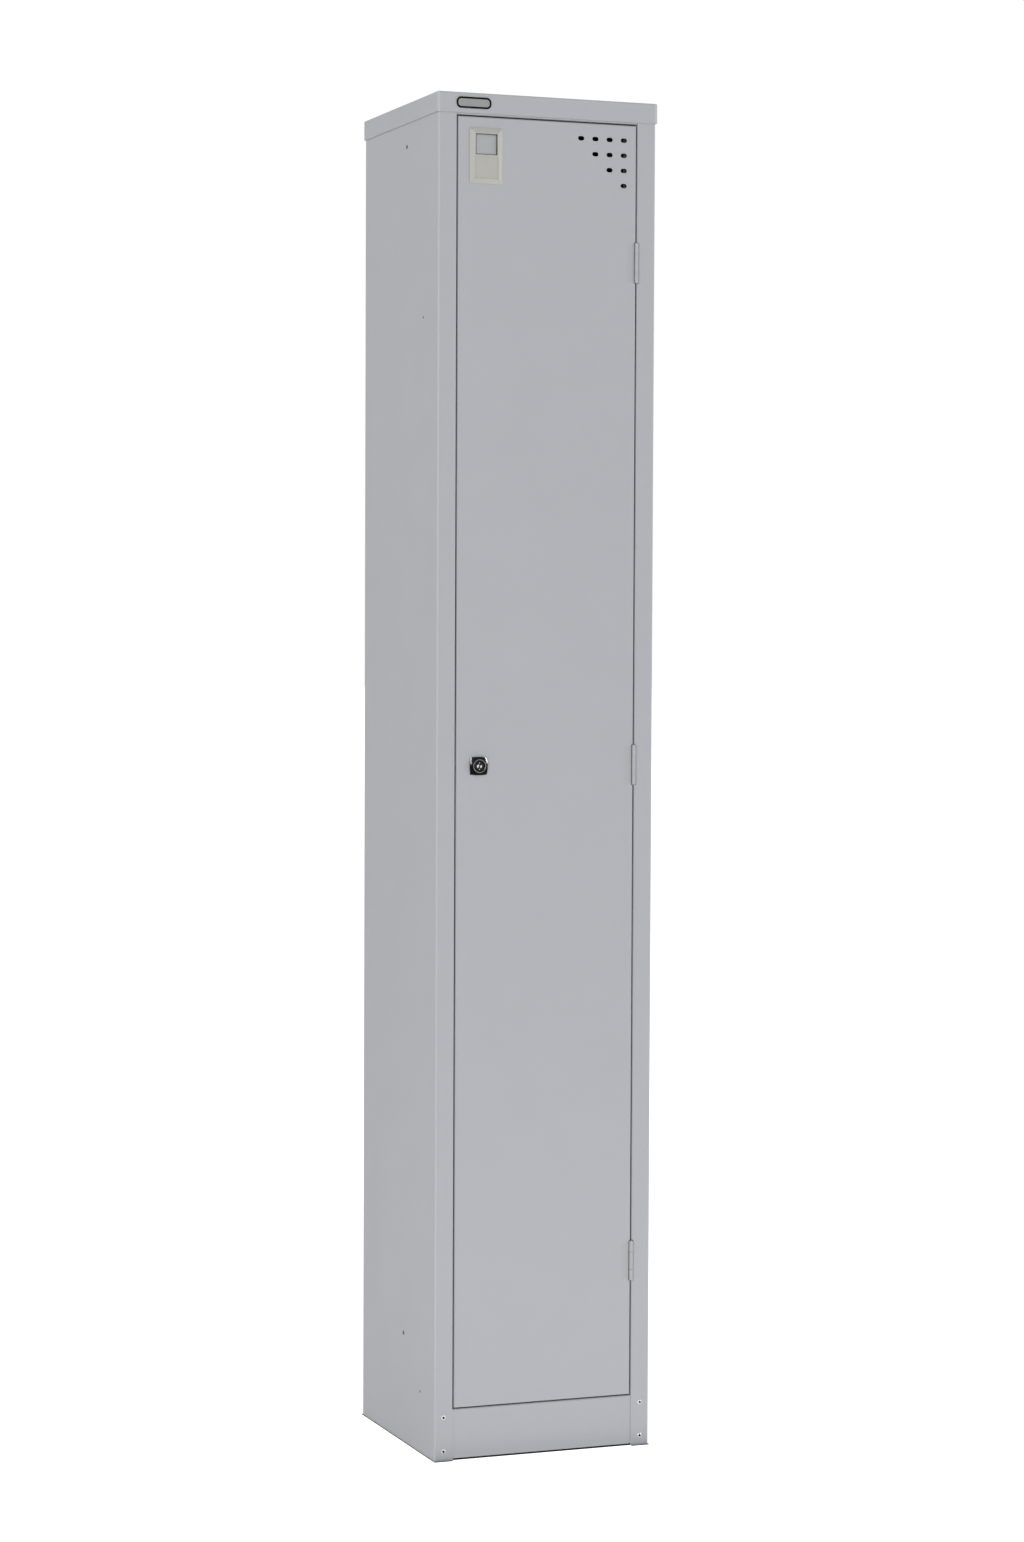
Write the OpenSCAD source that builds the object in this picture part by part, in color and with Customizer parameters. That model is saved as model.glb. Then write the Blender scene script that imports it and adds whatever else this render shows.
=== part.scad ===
// Tall sheet-steel locker with one hinged door, a hat shelf and a coat rail.
// Millimetres. The origin is on the floor under the middle of the body, +X points right as seen from
// the front, +Y points to the back and +Z points up. The door is shut and its lock is open.

/* [Body] */
// Height from the floor to the top of the cap
locker_h = 1830; // [1600:10:2000]
// Width across the two side panels
body_w = 312; // [300:1:450]
// Depth from the front of the stiles to the back
body_d = 305; // [250:1:500]
// Thickness of the sheet steel
sheet_t = 0.9; // [0.7:0.1:1.1]
// Radius on the inside of every fold
fold_r = 1.2; // [0.8:0.1:1.6]
// Height of the skirt round the cap
cap_skirt_h = 27; // [20:1:28]
// Width of the flange that each side panel turns in at the back
back_flange_w = 18; // [14:1:24]
// Width of the flanges at the foot and the top of each side panel
end_flange_w = 14; // [10:1:18]

/* [Front frame] */
// Width of the face of each stile
stile_w = 26.25; // [22:0.25:30]
// Height of the band above the door
header_h = 29.25; // [28:0.25:40]
// Height of the band below the door
kick_h = 69.25; // [60:0.25:100]
// Gap between the kick plate and the floor
kick_lift = 2; // [1:0.5:5]
// Depth of the folds behind the kick plate and the header
rail_return = 12; // [8:1:16]
// Width of the strip that the door shuts against
stop_w = 10; // [9:0.5:12]
// Width of the plate that backs the stop where the cam closes behind it
strike_h = 60; // [40:1:80]
// Thickness of that plate
strike_t = 1.5; // [1:0.1:2]

/* [Door] */
// Gap all round the door
door_gap = 1.8; // [1.6:0.1:3]
// Depth of the folded edge of the door
door_d = 18; // [16:0.5:22]
// Width of the lip at the back of the folded edge
door_lip_w = 12; // [8:0.5:14]
// Clearance between the shut door and its stop
stop_gap = 2; // [1.5:0.1:3]
// Width of the raised middle of the door's stiffener
stiffener_w = 34; // [24:1:50]
// Height of the stiffener off the door skin
stiffener_d = 12; // [8:1:14]
// Width of each flange of the stiffener
stiffener_flange_w = 12; // [8:1:16]
// Gap between each end of the stiffener and the door's end
stiffener_end = 30; // [20:1:60]

/* [Vents] */
// Length of a vent slot
vent_l = 9; // [7:0.5:12]
// Height of a vent slot
vent_h = 6; // [4:0.5:8]
// Number of slots in the longest row
vent_rows = 4; // [1:1:4]
// Distance between slots in a row
vent_pitch_x = 20.7; // [15:0.1:22]
// Distance between rows
vent_pitch_z = 20.3; // [12:0.1:26]
// Distance of the last column from the hinge edge of the door
vent_side = 18.35; // [16:0.05:24]
// Distance of the first row from the top of the door
vent_top = 20.75; // [18:0.25:40]

/* [Hinges] */
// Height of a hinge
hinge_h = 53; // [40:1:70]
// Distance of the outer hinges from the ends of the door
hinge_inset = 184.75; // [120:0.25:260]
// Radius of the hinge barrel
barrel_r = 2.75; // [2.4:0.05:3.2]
// Radius of the hinge pin
hinge_pin_r = 1.3; // [1:0.05:1.5]
// Height of the middle knuckle
knuckle_h = 24.4; // [16:0.2:30]
// How far the pin stands in front of the stiles
hinge_proud = 0.5; // [0.3:0.1:1]
// Depth of the hinge leaves behind the front
leaf_d = 16; // [10:0.5:17]
// Space left round the barrel in the door and the stile
barrel_clear = 0.8; // [0.5:0.1:1.5]

/* [Lock] */
// Distance of the lock from the free edge of the door
lock_side = 31.5; // [30:0.25:45]
// Height of the lock above the floor
lock_z = 935.5; // [700:0.5:1100]
// Width of the lock's front
bezel_w = 25; // [22:0.5:28]
// Height of the lock's front
bezel_h = 24.5; // [22:0.5:28]
// How far the lock's front stands out
bezel_proud = 5; // [4.5:0.5:9]
// Radius of the domed front
bezel_dome_r = 32; // [22:1:60]
// Radius of the slight outward curve of its four sides
bezel_side_r = 48; // [40:1:90]
// How much the round corners take off half its diagonal
bezel_corner = 1.55; // [1:0.05:3]
// Radius of the raised rim round the key
rim_r = 9; // [8:0.1:10]
// Width of that rim
rim_w = 1.1; // [0.8:0.1:1.4]
// Radius of the threaded lock body
lock_body_r = 9.25; // [8.5:0.05:9.5]
// Radius of the part that turns with the key
plug_r = 6.4; // [5:0.1:6.6]
// Width of the square end that carries the cam
plug_square = 7; // [5:0.5:8]
// Width of the key slot
key_slot_w = 1.8; // [1.2:0.1:2.4]
// Height of the key slot
key_slot_h = 8; // [6:0.5:9]
// Length of the cam from the middle of the lock
cam_l = 33; // [31:0.5:36]
// Width of the cam
cam_w = 16; // [12:0.5:18]
// Thickness of the cam
cam_t = 2; // [1.5:0.1:3]
// Space between the cam and the strike plate
cam_gap = 0.6; // [0.4:0.1:1]
// Width across the flats of the lock nut
lock_nut_af = 23; // [21:0.5:26]
// Thickness of the lock nut
lock_nut_t = 4; // [3:0.5:6]

/* [Card holder] */
// Width of the card holder
holder_w = 46.5; // [42:0.5:56]
// Height of the card holder
holder_h = 73.5; // [70:0.5:90]
// How far the card holder stands out
holder_t = 3; // [2.5:0.1:4]
// Distance of the holder from the free edge of the door
holder_side = 15.75; // [14:0.25:24]
// Distance of the holder from the top of the door
holder_top = 15; // [14:0.25:40]
// Slope width of the holder's edge
holder_bevel = 6.25; // [1:0.25:7]
// Radius of the holder's corners
holder_corner = 1; // [0.5:0.25:2]
// Width of the window
window_w = 30.5; // [24:0.5:32]
// Height of the window
window_h = 27.5; // [20:0.5:30]
// Distance of the window from the top of the holder
window_top = 7.5; // [7:0.5:10]
// Thickness of the clear sheet in the window
window_t = 0.5; // [0.3:0.1:0.8]
// Height of the sunk panel below the window
panel_h = 29; // [20:0.5:32]
// Space between the window and that panel
panel_gap = 2.5; // [1.5:0.5:5]
// Width of the sunk panel below the window
panel_w = 33; // [24:0.5:36]
// Depth of that panel
panel_sink = 0.6; // [0.3:0.1:1]
// Thickness of the card
card_t = 0.3; // [0.2:0.05:0.4]

/* [Shelf and floor] */
// Distance of the hat shelf from the top of the cap
hat_h = 284; // [240:1:400]
// Height of the folded edges of the shelf and the floor
tray_h = 20; // [16:1:26]
// Height of the floor above the band below the door
floor_rise = 4.75; // [4:0.25:10]

/* [Coat rail and hooks] */
// Radius of the coat rail
rail_r = 8; // [6:0.5:10]
// Wall of the coat rail
rail_wall = 1.2; // [1:0.1:2]
// Distance of the coat rail below the shelf
rail_drop = 60; // [45:1:90]
// Distance of each bracket from the side of the body
bracket_side = 34; // [30:1:50]
// Thickness of the brackets
bracket_t = 2; // [1.5:0.1:3]
// Width of the brackets at the shelf
bracket_w = 34; // [28:1:44]
// Length of the bracket's foot under the shelf
bracket_foot = 18; // [14:1:24]
// How far the rail runs past each bracket
rail_past = 3; // [2:0.5:8]
// Number of coat hooks
hook_n = 2; // [1:1:3]
// Distance between coat hooks
hook_pitch = 130; // [60:1:130]
// Distance of the coat hooks below the shelf
hook_drop = 190; // [150:1:260]
// Width of a hook's plate
hook_plate_w = 18; // [16:1:26]
// Height of a hook's plate
hook_plate_h = 46; // [42:1:60]
// Thickness of a hook's plate
hook_plate_t = 2; // [1.5:0.1:3]
// Radius of the hook's rod
hook_rod_r = 3; // [2.5:0.1:3.5]
// Radius of the bend in the rod
hook_bend_r = 12; // [10:0.5:16]
// Length of the rod before the bend
hook_reach = 12; // [8:1:20]
// Radius of the ball on the rod
hook_ball_r = 4.5; // [3.8:0.1:6]

/* [Rivets and holes] */
// Radius of a rivet's shank
rivet_r = 1.6; // [1.4:0.05:1.8]
// Radius of a rivet's head
rivet_head_r = 3.2; // [2.6:0.1:3.4]
// Height of a rivet's head
rivet_head_h = 1.1; // [0.8:0.1:1.4]
// Radius of the hole left in a rivet's head
rivet_eye_r = 1.1; // [0.6:0.05:1.2]
// Radius of the swelling on the blind end of a rivet
rivet_tail_r = 2.3; // [2.1:0.1:2.6]
// Distance of the shelf and floor rivets from the front
side_rivet_back = 57; // [40:0.5:90]
// Distance of the kick plate's rivets from the side of the body
kick_rivet_side = 13; // [10:0.5:15]
// Height of the lower rivets of the kick plate
kick_rivet_low = 13; // [10:0.5:20]
// Distance of the upper rivets from the top of the kick plate
kick_rivet_drop = 10.25; // [8:0.25:14]
// Number of rivets up each side of the back panel
back_rivet_n = 6; // [3:1:9]
// Radius of the holes that bolt lockers side by side
joining_hole_r = 3; // [2.5:0.25:4]
// Distance of the joining holes from the front
joining_back = 128; // [90:1:150]
// Height of the lower joining hole
joining_low = 151; // [120:1:300]
// Distance of the upper joining hole from the top
joining_drop = 58; // [45:1:120]

/* [Buffers and name plate] */
// Radius of a door buffer
buffer_r = 3.5; // [3:0.1:4]
// Height of the lower buffer above the foot of the door
buffer_inset = 230; // [100:1:400]
// Height of the upper buffer above the hat shelf
buffer_over_shelf = 22.75; // [10:0.25:60]
// Width of the blank name plate on the cap
plate_w = 49; // [30:1:60]
// Height of the blank name plate
plate_h = 15; // [10:0.5:18]
// Thickness of the blank name plate
plate_t = 1; // [0.6:0.1:1.5]
// Radius of the name plate's corners
plate_corner_r = 3; // [1:0.5:4]
// Distance of the name plate from the side of the body
plate_side = 24.7; // [20:0.1:60]

/* [Fits] */
// Space between sheets that tuck into each other
fit_gap = 0.3; // [0.2:0.05:0.4]
// Space between the cap's skirt and the body
cap_gap = 0.6; // [0.4:0.1:1]
// Radial space of a pin, shaft or screw in its hole
running_gap = 0.05; // [0.02:0.01:0.08]
// Radial space of a rivet or a peg in its hole
hole_gap = 0.1; // [0.1:0.05:0.2]

/* [Hidden] */

paint = [0.69, 0.69, 0.71];
zinc = [0.75, 0.76, 0.78];
black = [0.06, 0.06, 0.07];
cream = [0.74, 0.73, 0.69];

fold_out = fold_r + sheet_t;
over = 1; // how far a cut runs past the face it opens
front_y = -body_d / 2;
back_y = body_d / 2;
side_x = body_w / 2;
web_in = side_x - sheet_t; // inner face of a side panel
tuck_x = side_x - fold_out - fit_gap; // half width of a sheet that lies behind the stiles or the back flanges
tray_x = web_in - fit_gap; // half width of the shelf and the floor
panel_top = locker_h - sheet_t; // top of the side panels, under the cap
back_in = back_y - 2 * sheet_t; // inner face of the back panel

opening_x = side_x - stile_w;
header_z = locker_h - header_h;
jamb_d = door_d + stop_gap;
stop_back = front_y + jamb_d + sheet_t; // back face of the door stop
tray_front = stop_back + fit_gap;

door_x = opening_x - door_gap; // half width of the door
door_low = kick_h + door_gap;
door_high = header_z - door_gap;
door_h = door_high - door_low;
door_mid = (door_low + door_high) / 2;
lock_x = -door_x + lock_side;

hinge_x = opening_x - door_gap / 2;
hinge_y = front_y - hinge_proud;
hinge_z = [for (k = [-1, 0, 1]) door_mid + k * (door_h / 2 - hinge_inset)];
leaf_t = door_gap / 2 - running_gap;
end_knuckle_h = (hinge_h - knuckle_h) / 2 - fit_gap;
pin_head_h = 0.6;
pin_head_r = hinge_pin_r + pin_head_h;

shelf_z = locker_h - hat_h;
floor_z = kick_h + floor_rise;
rail_z = shelf_z - rail_drop;
bracket_x = side_x - bracket_side;
bracket_rivet_y = bracket_w / 4;
hook_z = shelf_z - hook_drop;
hook_rivet_z = hook_plate_h / 2 - hook_plate_w / 2;

cam_face = jamb_d + sheet_t + strike_t + cam_gap; // depth of the cam's front face behind the door's face
plug_back = cam_face - running_gap;
cam_screw_r = 2;
cam_screw_head_r = 4;
cam_screw_head_h = 2.6;
cam_screw_l = 8;
cam_washer_r = 5.5;
cam_washer_t = 0.8;

holder_x = -door_x + holder_side + holder_w / 2;
holder_z = door_high - holder_top - holder_h / 2;
peg_r = 1.9;
peg_l = 3;
peg_land = 2 * (peg_r + hole_gap) + holder_corner; // end of the holder that carries a peg
pocket_wall = 4;
pocket_h = holder_h - 2 * peg_land; // pocket for the card, between the pegs
pocket_w = holder_w - 2 * pocket_wall;
peg_y = pocket_h / 2 + peg_r + hole_gap;

buffer_x = -opening_x + stop_w / 2;
buffer_z = [door_low + buffer_inset, shelf_z + buffer_over_shelf];
buffer_stem_r = 1.4;
buffer_tail_r = buffer_stem_r + 1.1; // button on the stem behind the stop
plate_z = locker_h - cap_skirt_h / 2;

// Draws children as a bar along X, with the section's first axis along Y and its second along Z
module along_x(len) rotate([90, 0, 90]) linear_extrude(len, center = true) children();

// Draws children as a bar along Y, with the section's first axis along X and its second along Z
module along_y(len) rotate([90, 0, 0]) linear_extrude(len, center = true) children();

// Turns a shape that stands on the XY plane to stand out of a face that looks to the front
module facing_front(x, y, z) translate([x, y, z]) rotate([90, 0, 0]) children();

// Turns a shape that stands on the XY plane to stand out of the left (-1) or right (1) side
module facing_side(side, y, z) translate([side * side_x, y, z]) rotate([0, side * 90, 0]) children();

// How a path turns at corner i: 1 to the left, -1 to the right
function turn_at(path, i) = sign(cross(path[i] - path[i - 1], path[i + 1] - path[i]));
// Length of the straight face that the fold at corner i takes up
function fold_trim(path, i) = turn_at(path, i) > 0 ? fold_out : fold_r;
function heading(from, to) = atan2(to.y - from.y, to.x - from.x);

// Section of a folded sheet. path holds the square corners of one face, and the sheet lies on its left.
module folded_strip(path) {
    last = len(path) - 1;
    for (i = [0 : last - 1]) {
        from = path[i];
        to = path[i + 1];
        trim_from = i == 0 ? 0 : fold_trim(path, i);
        trim_to = i == last - 1 ? 0 : fold_trim(path, i + 1);
        translate(from) rotate(heading(from, to)) translate([trim_from, 0])
            square([norm(to - from) - trim_from - trim_to, sheet_t]);
    }
    for (i = [1 : last - 1]) {
        left = turn_at(path, i) > 0;
        way = heading(path[i - 1], path[i]);
        translate(path[i]) rotate(way) translate([-fold_trim(path, i), left ? fold_out : -fold_r])
            rotate(left ? -90 : 0) quarter_fold();
    }
}

module quarter_fold() intersection() {
    difference() {
        circle(fold_out);
        circle(fold_r);
    }
    square(fold_out);
}

module round_rect(w, h, r) {
    square([w - 2 * r, h], center = true);
    square([w, h - 2 * r], center = true);
    for (x = [-1, 1], y = [-1, 1]) translate([x * (w / 2 - r), y * (h / 2 - r)]) circle(r);
}

// A block whose long edges, top and bottom, are rounded as folded sheet is
module folded_block(w, d, h, r) intersection() {
    along_y(d) round_rect(w, h, r);
    along_x(w) round_rect(d, h, r);
}

// A sheet with all four edges folded down, its upper face at z = 0
module tray(w, d, h) difference() {
    translate([0, 0, -h]) folded_block(w, d, 2 * h, fold_out);
    translate([0, 0, -h - sheet_t]) folded_block(w - 2 * sheet_t, d - 2 * sheet_t, 2 * h, fold_r);
    translate([0, 0, -2 * h]) cube([w + over, d + over, 2 * h], center = true);
}

// A blind rivet whose head stands on z = 0 and whose shank goes down through the grip
module rivet(grip) difference() {
    dome_r = (pow(rivet_head_r, 2) + pow(rivet_head_h, 2)) / (2 * rivet_head_h);
    union() {
        rotate_extrude() intersection() {
            translate([0, rivet_head_h - dome_r]) circle(dome_r);
            square([rivet_head_r, rivet_head_h]);
        }
        translate([0, 0, -grip - rivet_r]) cylinder(r = rivet_r, h = grip + rivet_r);
        translate([0, 0, -grip - sqrt(pow(rivet_tail_r, 2) - pow(rivet_r, 2))]) sphere(rivet_tail_r);
    }
    cylinder(r = rivet_eye_r, h = 2 * rivet_head_h, center = true);
}

// A hole for a rivet through whatever lies within reach of z = 0
module rivet_hole(reach) cylinder(r = rivet_r + hole_gap, h = 2 * reach, center = true);

module at_kick_rivets() for (side = [-1, 1], z = [kick_rivet_low, kick_h - kick_rivet_drop])
    facing_front(side * (side_x - kick_rivet_side), front_y, z) children();

module at_side_rivets(side) for (z = [floor_z + tray_h / 2, shelf_z - tray_h / 2])
    facing_side(side, front_y + side_rivet_back, z) children();

// Rivets of the back flanges of the side panels, heads to the back
module at_back_flange_rivets() for (side = [-1, 1], i = [0 : back_rivet_n - 1])
    translate([side * (side_x - back_flange_w / 2), back_y, back_rivet_z(i)]) rotate([-90, 0, 0]) children();

// Rivets that hold the shelf and the floor to the back panel
module at_back_tray_rivets() for (side = [-1, 1], z = [floor_z + tray_h / 2, shelf_z - tray_h / 2])
    translate([side * body_w / 4, back_y - sheet_t, z]) rotate([-90, 0, 0]) children();

function back_rivet_z(i) = kick_h / 2 + i * (panel_top - kick_h) / (back_rivet_n - 1);

module at_joining_holes(side) for (z = [joining_low, locker_h - joining_drop])
    facing_side(side, front_y + joining_back, z) children();

// Left side panel: back flange, side, stile, jamb and door stop are folds of one sheet
module side_panel(side) {
    outer = [[-side_x + back_flange_w, back_y], [-side_x, back_y], [-side_x, front_y], [-opening_x, front_y]];
    inner = [[-opening_x, front_y + jamb_d], [-opening_x + stop_w, front_y + jamb_d]];
    flange_front = front_y + sheet_t + rail_return + fit_gap;
    flange_back = back_in - fit_gap;
    difference() {
        mirror([side > 0 ? 1 : 0, 0, 0]) {
            linear_extrude(kick_h) folded_strip(outer);
            translate([0, 0, kick_h]) linear_extrude(header_z - kick_h) folded_strip(concat(outer, inner));
            translate([0, 0, header_z]) linear_extrude(panel_top - fold_out - header_z) folded_strip(outer);
            translate([-side_x, flange_front, 0]) cube([end_flange_w, flange_back - flange_front, sheet_t]);
            translate([0, (flange_front + flange_back) / 2, 0]) along_y(flange_back - flange_front)
                folded_strip([[-side_x + end_flange_w, panel_top], [-side_x, panel_top],
                    [-side_x, panel_top - 2 * fold_out]]);
        }
        at_joining_holes(side) cylinder(r = joining_hole_r, h = 2 * fold_out, center = true);
        at_side_rivets(side) rivet_hole(2 * sheet_t);
        at_kick_rivets() rivet_hole(2 * sheet_t);
        at_back_flange_rivets() rivet_hole(2 * sheet_t);
    }
}

module left_side_panel() color(paint) difference() {
    side_panel(-1);
    for (z = buffer_z) translate([buffer_x, stop_back, z]) rotate([90, 0, 0])
        cylinder(r = buffer_stem_r + hole_gap, h = 4 * sheet_t, center = true);
}

module right_side_panel() color(paint) difference() {
    side_panel(1);
    barrel_notches();
}

// Room for the hinge barrels in the edges on both sides of the gap
module barrel_notches() for (z = hinge_z) translate([hinge_x, hinge_y, z])
    cube([2 * (barrel_r + barrel_clear), 2 * (barrel_r + barrel_clear), hinge_h + 2 * barrel_clear], center = true);

module back_panel() color(paint) difference() {
    translate([-tuck_x, back_in, kick_lift]) cube([2 * tuck_x, sheet_t, panel_top - kick_lift]);
    at_back_flange_rivets() rivet_hole(3 * sheet_t);
    at_back_tray_rivets() rivet_hole(3 * sheet_t);
    at_hooks() at_hook_rivets() rivet_hole(hook_plate_t + 2 * sheet_t);
}

module top_cap() color(paint) {
    over_side = 2 * (sheet_t + cap_gap);
    translate([0, 0, locker_h]) tray(body_w + over_side, body_d + over_side, cap_skirt_h);
}

// Band above the door: its lower fold ends in the stop for the top of the door
module header_rail() color(paint) difference() {
    face = front_y + sheet_t;
    along_x(2 * tuck_x) folded_strip([[face + rail_return, panel_top], [face, panel_top], [face, header_z],
        [front_y + jamb_d, header_z], [front_y + jamb_d, header_z - stop_w]]);
    for (side = [-1, 1]) {
        inner = opening_x - stop_w - fit_gap;
        translate([side * (inner + side_x / 2), front_y + jamb_d, header_z - stop_w])
            cube([side_x, 4 * fold_out, 2 * stop_w], center = true);
    }
}

// Band below the door, riveted behind the stiles; its upper fold carries the floor's front edge
module kick_plate() color(paint) difference() {
    face = front_y + sheet_t;
    along_x(2 * tuck_x) folded_strip([[tray_front + 2 * fold_out, kick_h], [face, kick_h], [face, kick_lift],
        [face + rail_return, kick_lift]]);
    at_kick_rivets() rivet_hole(3 * sheet_t);
}

module floor_pan() color(paint) difference() {
    union() {
        translate([0, (tray_front + back_in) / 2, 0]) along_y(back_in - tray_front - 2 * fold_out)
            folded_strip([[tray_x - sheet_t, floor_z + tray_h], [tray_x - sheet_t, floor_z],
                [-tray_x + sheet_t, floor_z], [-tray_x + sheet_t, floor_z + tray_h]]);
        along_x(2 * (tray_x - fold_out))
            folded_strip([[back_in - sheet_t, floor_z + tray_h], [back_in - sheet_t, floor_z],
                [tray_front, floor_z], [tray_front, kick_h]]);
    }
    for (side = [-1, 1]) at_side_rivets(side) rivet_hole(3 * sheet_t);
    at_back_tray_rivets() rivet_hole(3 * sheet_t);
}

module hat_shelf() color(paint) difference() {
    translate([0, (tray_front + back_in) / 2, shelf_z]) tray(2 * tray_x, back_in - tray_front, tray_h);
    for (side = [-1, 1]) at_side_rivets(side) rivet_hole(3 * sheet_t);
    at_back_tray_rivets() rivet_hole(3 * sheet_t);
    at_bracket_rivets() rivet_hole(2 * sheet_t);
}

// Backs the door stop where the cam closes behind it
module strike_plate() color(zinc)
    translate([-opening_x, stop_back, lock_z - strike_h / 2]) cube([stop_w, strike_t, strike_h]);

// Blank plate on the front of the cap
module name_plate() color(zinc) {
    x = -side_x + plate_side + plate_w / 2;
    facing_front(x, front_y - sheet_t - cap_gap, plate_z) {
        linear_extrude(plate_t / 2) round_rect(plate_w, plate_h, plate_corner_r);
        linear_extrude(plate_t)
            round_rect(plate_w - 2 * plate_t, plate_h - 2 * plate_t, plate_corner_r - plate_t / 2);
    }
}

// Rubber buttons that take up the space between the door and its stop
module door_buffers() color(black) for (z = buffer_z) facing_front(buffer_x, front_y + jamb_d, z) {
    cylinder(r = buffer_r, h = stop_gap - fit_gap);
    translate([0, 0, -sheet_t - buffer_stem_r]) cylinder(r = buffer_stem_r, h = sheet_t + buffer_stem_r);
    translate([0, 0, -sheet_t - buffer_stem_r]) cylinder(r = buffer_tail_r, h = buffer_stem_r);
}

module coat_rail() color(zinc) translate([0, 0, rail_z]) rotate([0, 90, 0]) difference() {
    cylinder(r = rail_r, h = 2 * (bracket_x + rail_past), center = true);
    cylinder(r = rail_r - rail_wall, h = 2 * (bracket_x + rail_past) + over, center = true);
}

module coat_rail_caps() color(black) for (side = [-1, 1])
    translate([side * (bracket_x + rail_past), 0, rail_z]) rotate([0, side * 90, 0]) {
        cylinder(r = rail_r + rail_wall, h = rail_wall);
        translate([0, 0, -rail_r]) cylinder(r = rail_r - rail_wall - hole_gap, h = rail_r);
    }

// Each bracket is a strip with a foot under the shelf and a ring round the rail
module coat_rail_brackets() color(zinc) for (side = [-1, 1]) mirror([side > 0 ? 0 : 1, 0, 0]) difference() {
    ring_r = rail_r + 2 * bracket_t;
    foot_z = shelf_z - sheet_t;
    union() {
        translate([bracket_x - bracket_t, 0, 0]) rotate([90, 0, 90]) linear_extrude(bracket_t) {
            translate([0, rail_z]) circle(ring_r);
            polygon([[-bracket_w / 2, foot_z], [-ring_r, rail_z], [ring_r, rail_z], [bracket_w / 2, foot_z]]);
        }
        translate([bracket_x - bracket_foot, -bracket_w / 2, foot_z - bracket_t])
            cube([bracket_foot, bracket_w, bracket_t]);
    }
    translate([bracket_x, 0, rail_z]) rotate([0, 90, 0])
        cylinder(r = rail_r + hole_gap, h = 4 * bracket_t, center = true);
    at_bracket_rivets() rivet_hole(2 * bracket_t);
}

module at_bracket_rivets() for (side = [-1, 1], y = [-bracket_rivet_y, bracket_rivet_y])
    translate([side * (bracket_x - bracket_foot / 2 - bracket_t / 2), y, shelf_z]) children();

module at_hooks() for (i = [0 : hook_n - 1])
    facing_front((i - (hook_n - 1) / 2) * hook_pitch, back_in, hook_z) children();

module at_hook_rivets() for (y = [-hook_rivet_z, hook_rivet_z]) translate([0, y, hook_plate_t]) children();

module coat_hooks() color(zinc) at_hooks() difference() {
    union() {
        linear_extrude(hook_plate_t) {
            square([hook_plate_w, hook_plate_h - hook_plate_w], center = true);
            for (y = [-1, 1]) translate([0, y * (hook_plate_h - hook_plate_w) / 2]) circle(hook_plate_w / 2);
        }
        cylinder(r = hook_rod_r, h = hook_plate_t + hook_reach);
        translate([0, hook_bend_r, hook_plate_t + hook_reach]) rotate([90, 0, -90])
            rotate_extrude(angle = 90) translate([hook_bend_r, 0]) circle(hook_rod_r);
        translate([0, hook_bend_r, hook_plate_t + hook_reach + hook_bend_r]) rotate([-90, 0, 0]) {
            cylinder(r = hook_rod_r, h = hook_ball_r);
            translate([0, 0, hook_ball_r]) sphere(hook_ball_r);
        }
    }
    at_hook_rivets() rivet_hole(2 * hook_plate_t);
}

module kick_plate_rivets() color(zinc) at_kick_rivets() rivet(2 * sheet_t);

module side_rivets() color(paint) for (side = [-1, 1]) at_side_rivets(side) rivet(2 * sheet_t + fit_gap);

module back_rivets() color(paint) {
    at_back_flange_rivets() rivet(2 * sheet_t);
    at_back_tray_rivets() rivet(2 * sheet_t);
}

module bracket_rivets() color(zinc) at_bracket_rivets() rivet(sheet_t + bracket_t);

module hook_rivets() color(zinc) at_hooks() at_hook_rivets() rivet(sheet_t + hook_plate_t);

// One leaf of a hinge on the stile (side 1) or the door (side -1), with the knuckles at the heights given
module hinge_leaf(z, side, knuckles) translate([hinge_x, hinge_y, z]) difference() {
    leaf_start = barrel_r + fit_gap;
    leaf_end = leaf_d + hinge_proud;
    leaf_x = side > 0 ? running_gap : -running_gap - leaf_t;
    union() {
        translate([leaf_x, leaf_start, -hinge_h / 2]) cube([leaf_t, leaf_end - leaf_start, hinge_h]);
        for (k = knuckles) translate([0, 0, k[0]]) {
            cylinder(r = barrel_r, h = k[1]);
            translate([leaf_x, hinge_pin_r, 0]) cube([leaf_t, leaf_start - hinge_pin_r + over, k[1]]);
        }
    }
    cylinder(r = hinge_pin_r + running_gap, h = hinge_h + over, center = true);
}

module frame_leaf(z) hinge_leaf(z, 1, [[-hinge_h / 2, end_knuckle_h], [hinge_h / 2 - end_knuckle_h, end_knuckle_h]]);
module door_leaf(z) hinge_leaf(z, -1, [[-knuckle_h / 2, knuckle_h]]);

module hinge_pin(z) translate([hinge_x, hinge_y, z]) {
    cylinder(r = hinge_pin_r, h = hinge_h, center = true);
    for (end = [-1, 1]) translate([0, 0, end * (hinge_h + pin_head_h) / 2])
        cylinder(r = pin_head_r, h = pin_head_h, center = true);
}

module lower_hinge_frame_leaf() color(paint) frame_leaf(hinge_z[0]);
module middle_hinge_frame_leaf() color(paint) frame_leaf(hinge_z[1]);
module upper_hinge_frame_leaf() color(paint) frame_leaf(hinge_z[2]);
module lower_hinge_door_leaf() color(paint) door_leaf(hinge_z[0]);
module middle_hinge_door_leaf() color(paint) door_leaf(hinge_z[1]);
module upper_hinge_door_leaf() color(paint) door_leaf(hinge_z[2]);
module lower_hinge_pin() color(zinc) hinge_pin(hinge_z[0]);
module middle_hinge_pin() color(zinc) hinge_pin(hinge_z[1]);
module upper_hinge_pin() color(zinc) hinge_pin(hinge_z[2]);

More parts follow.
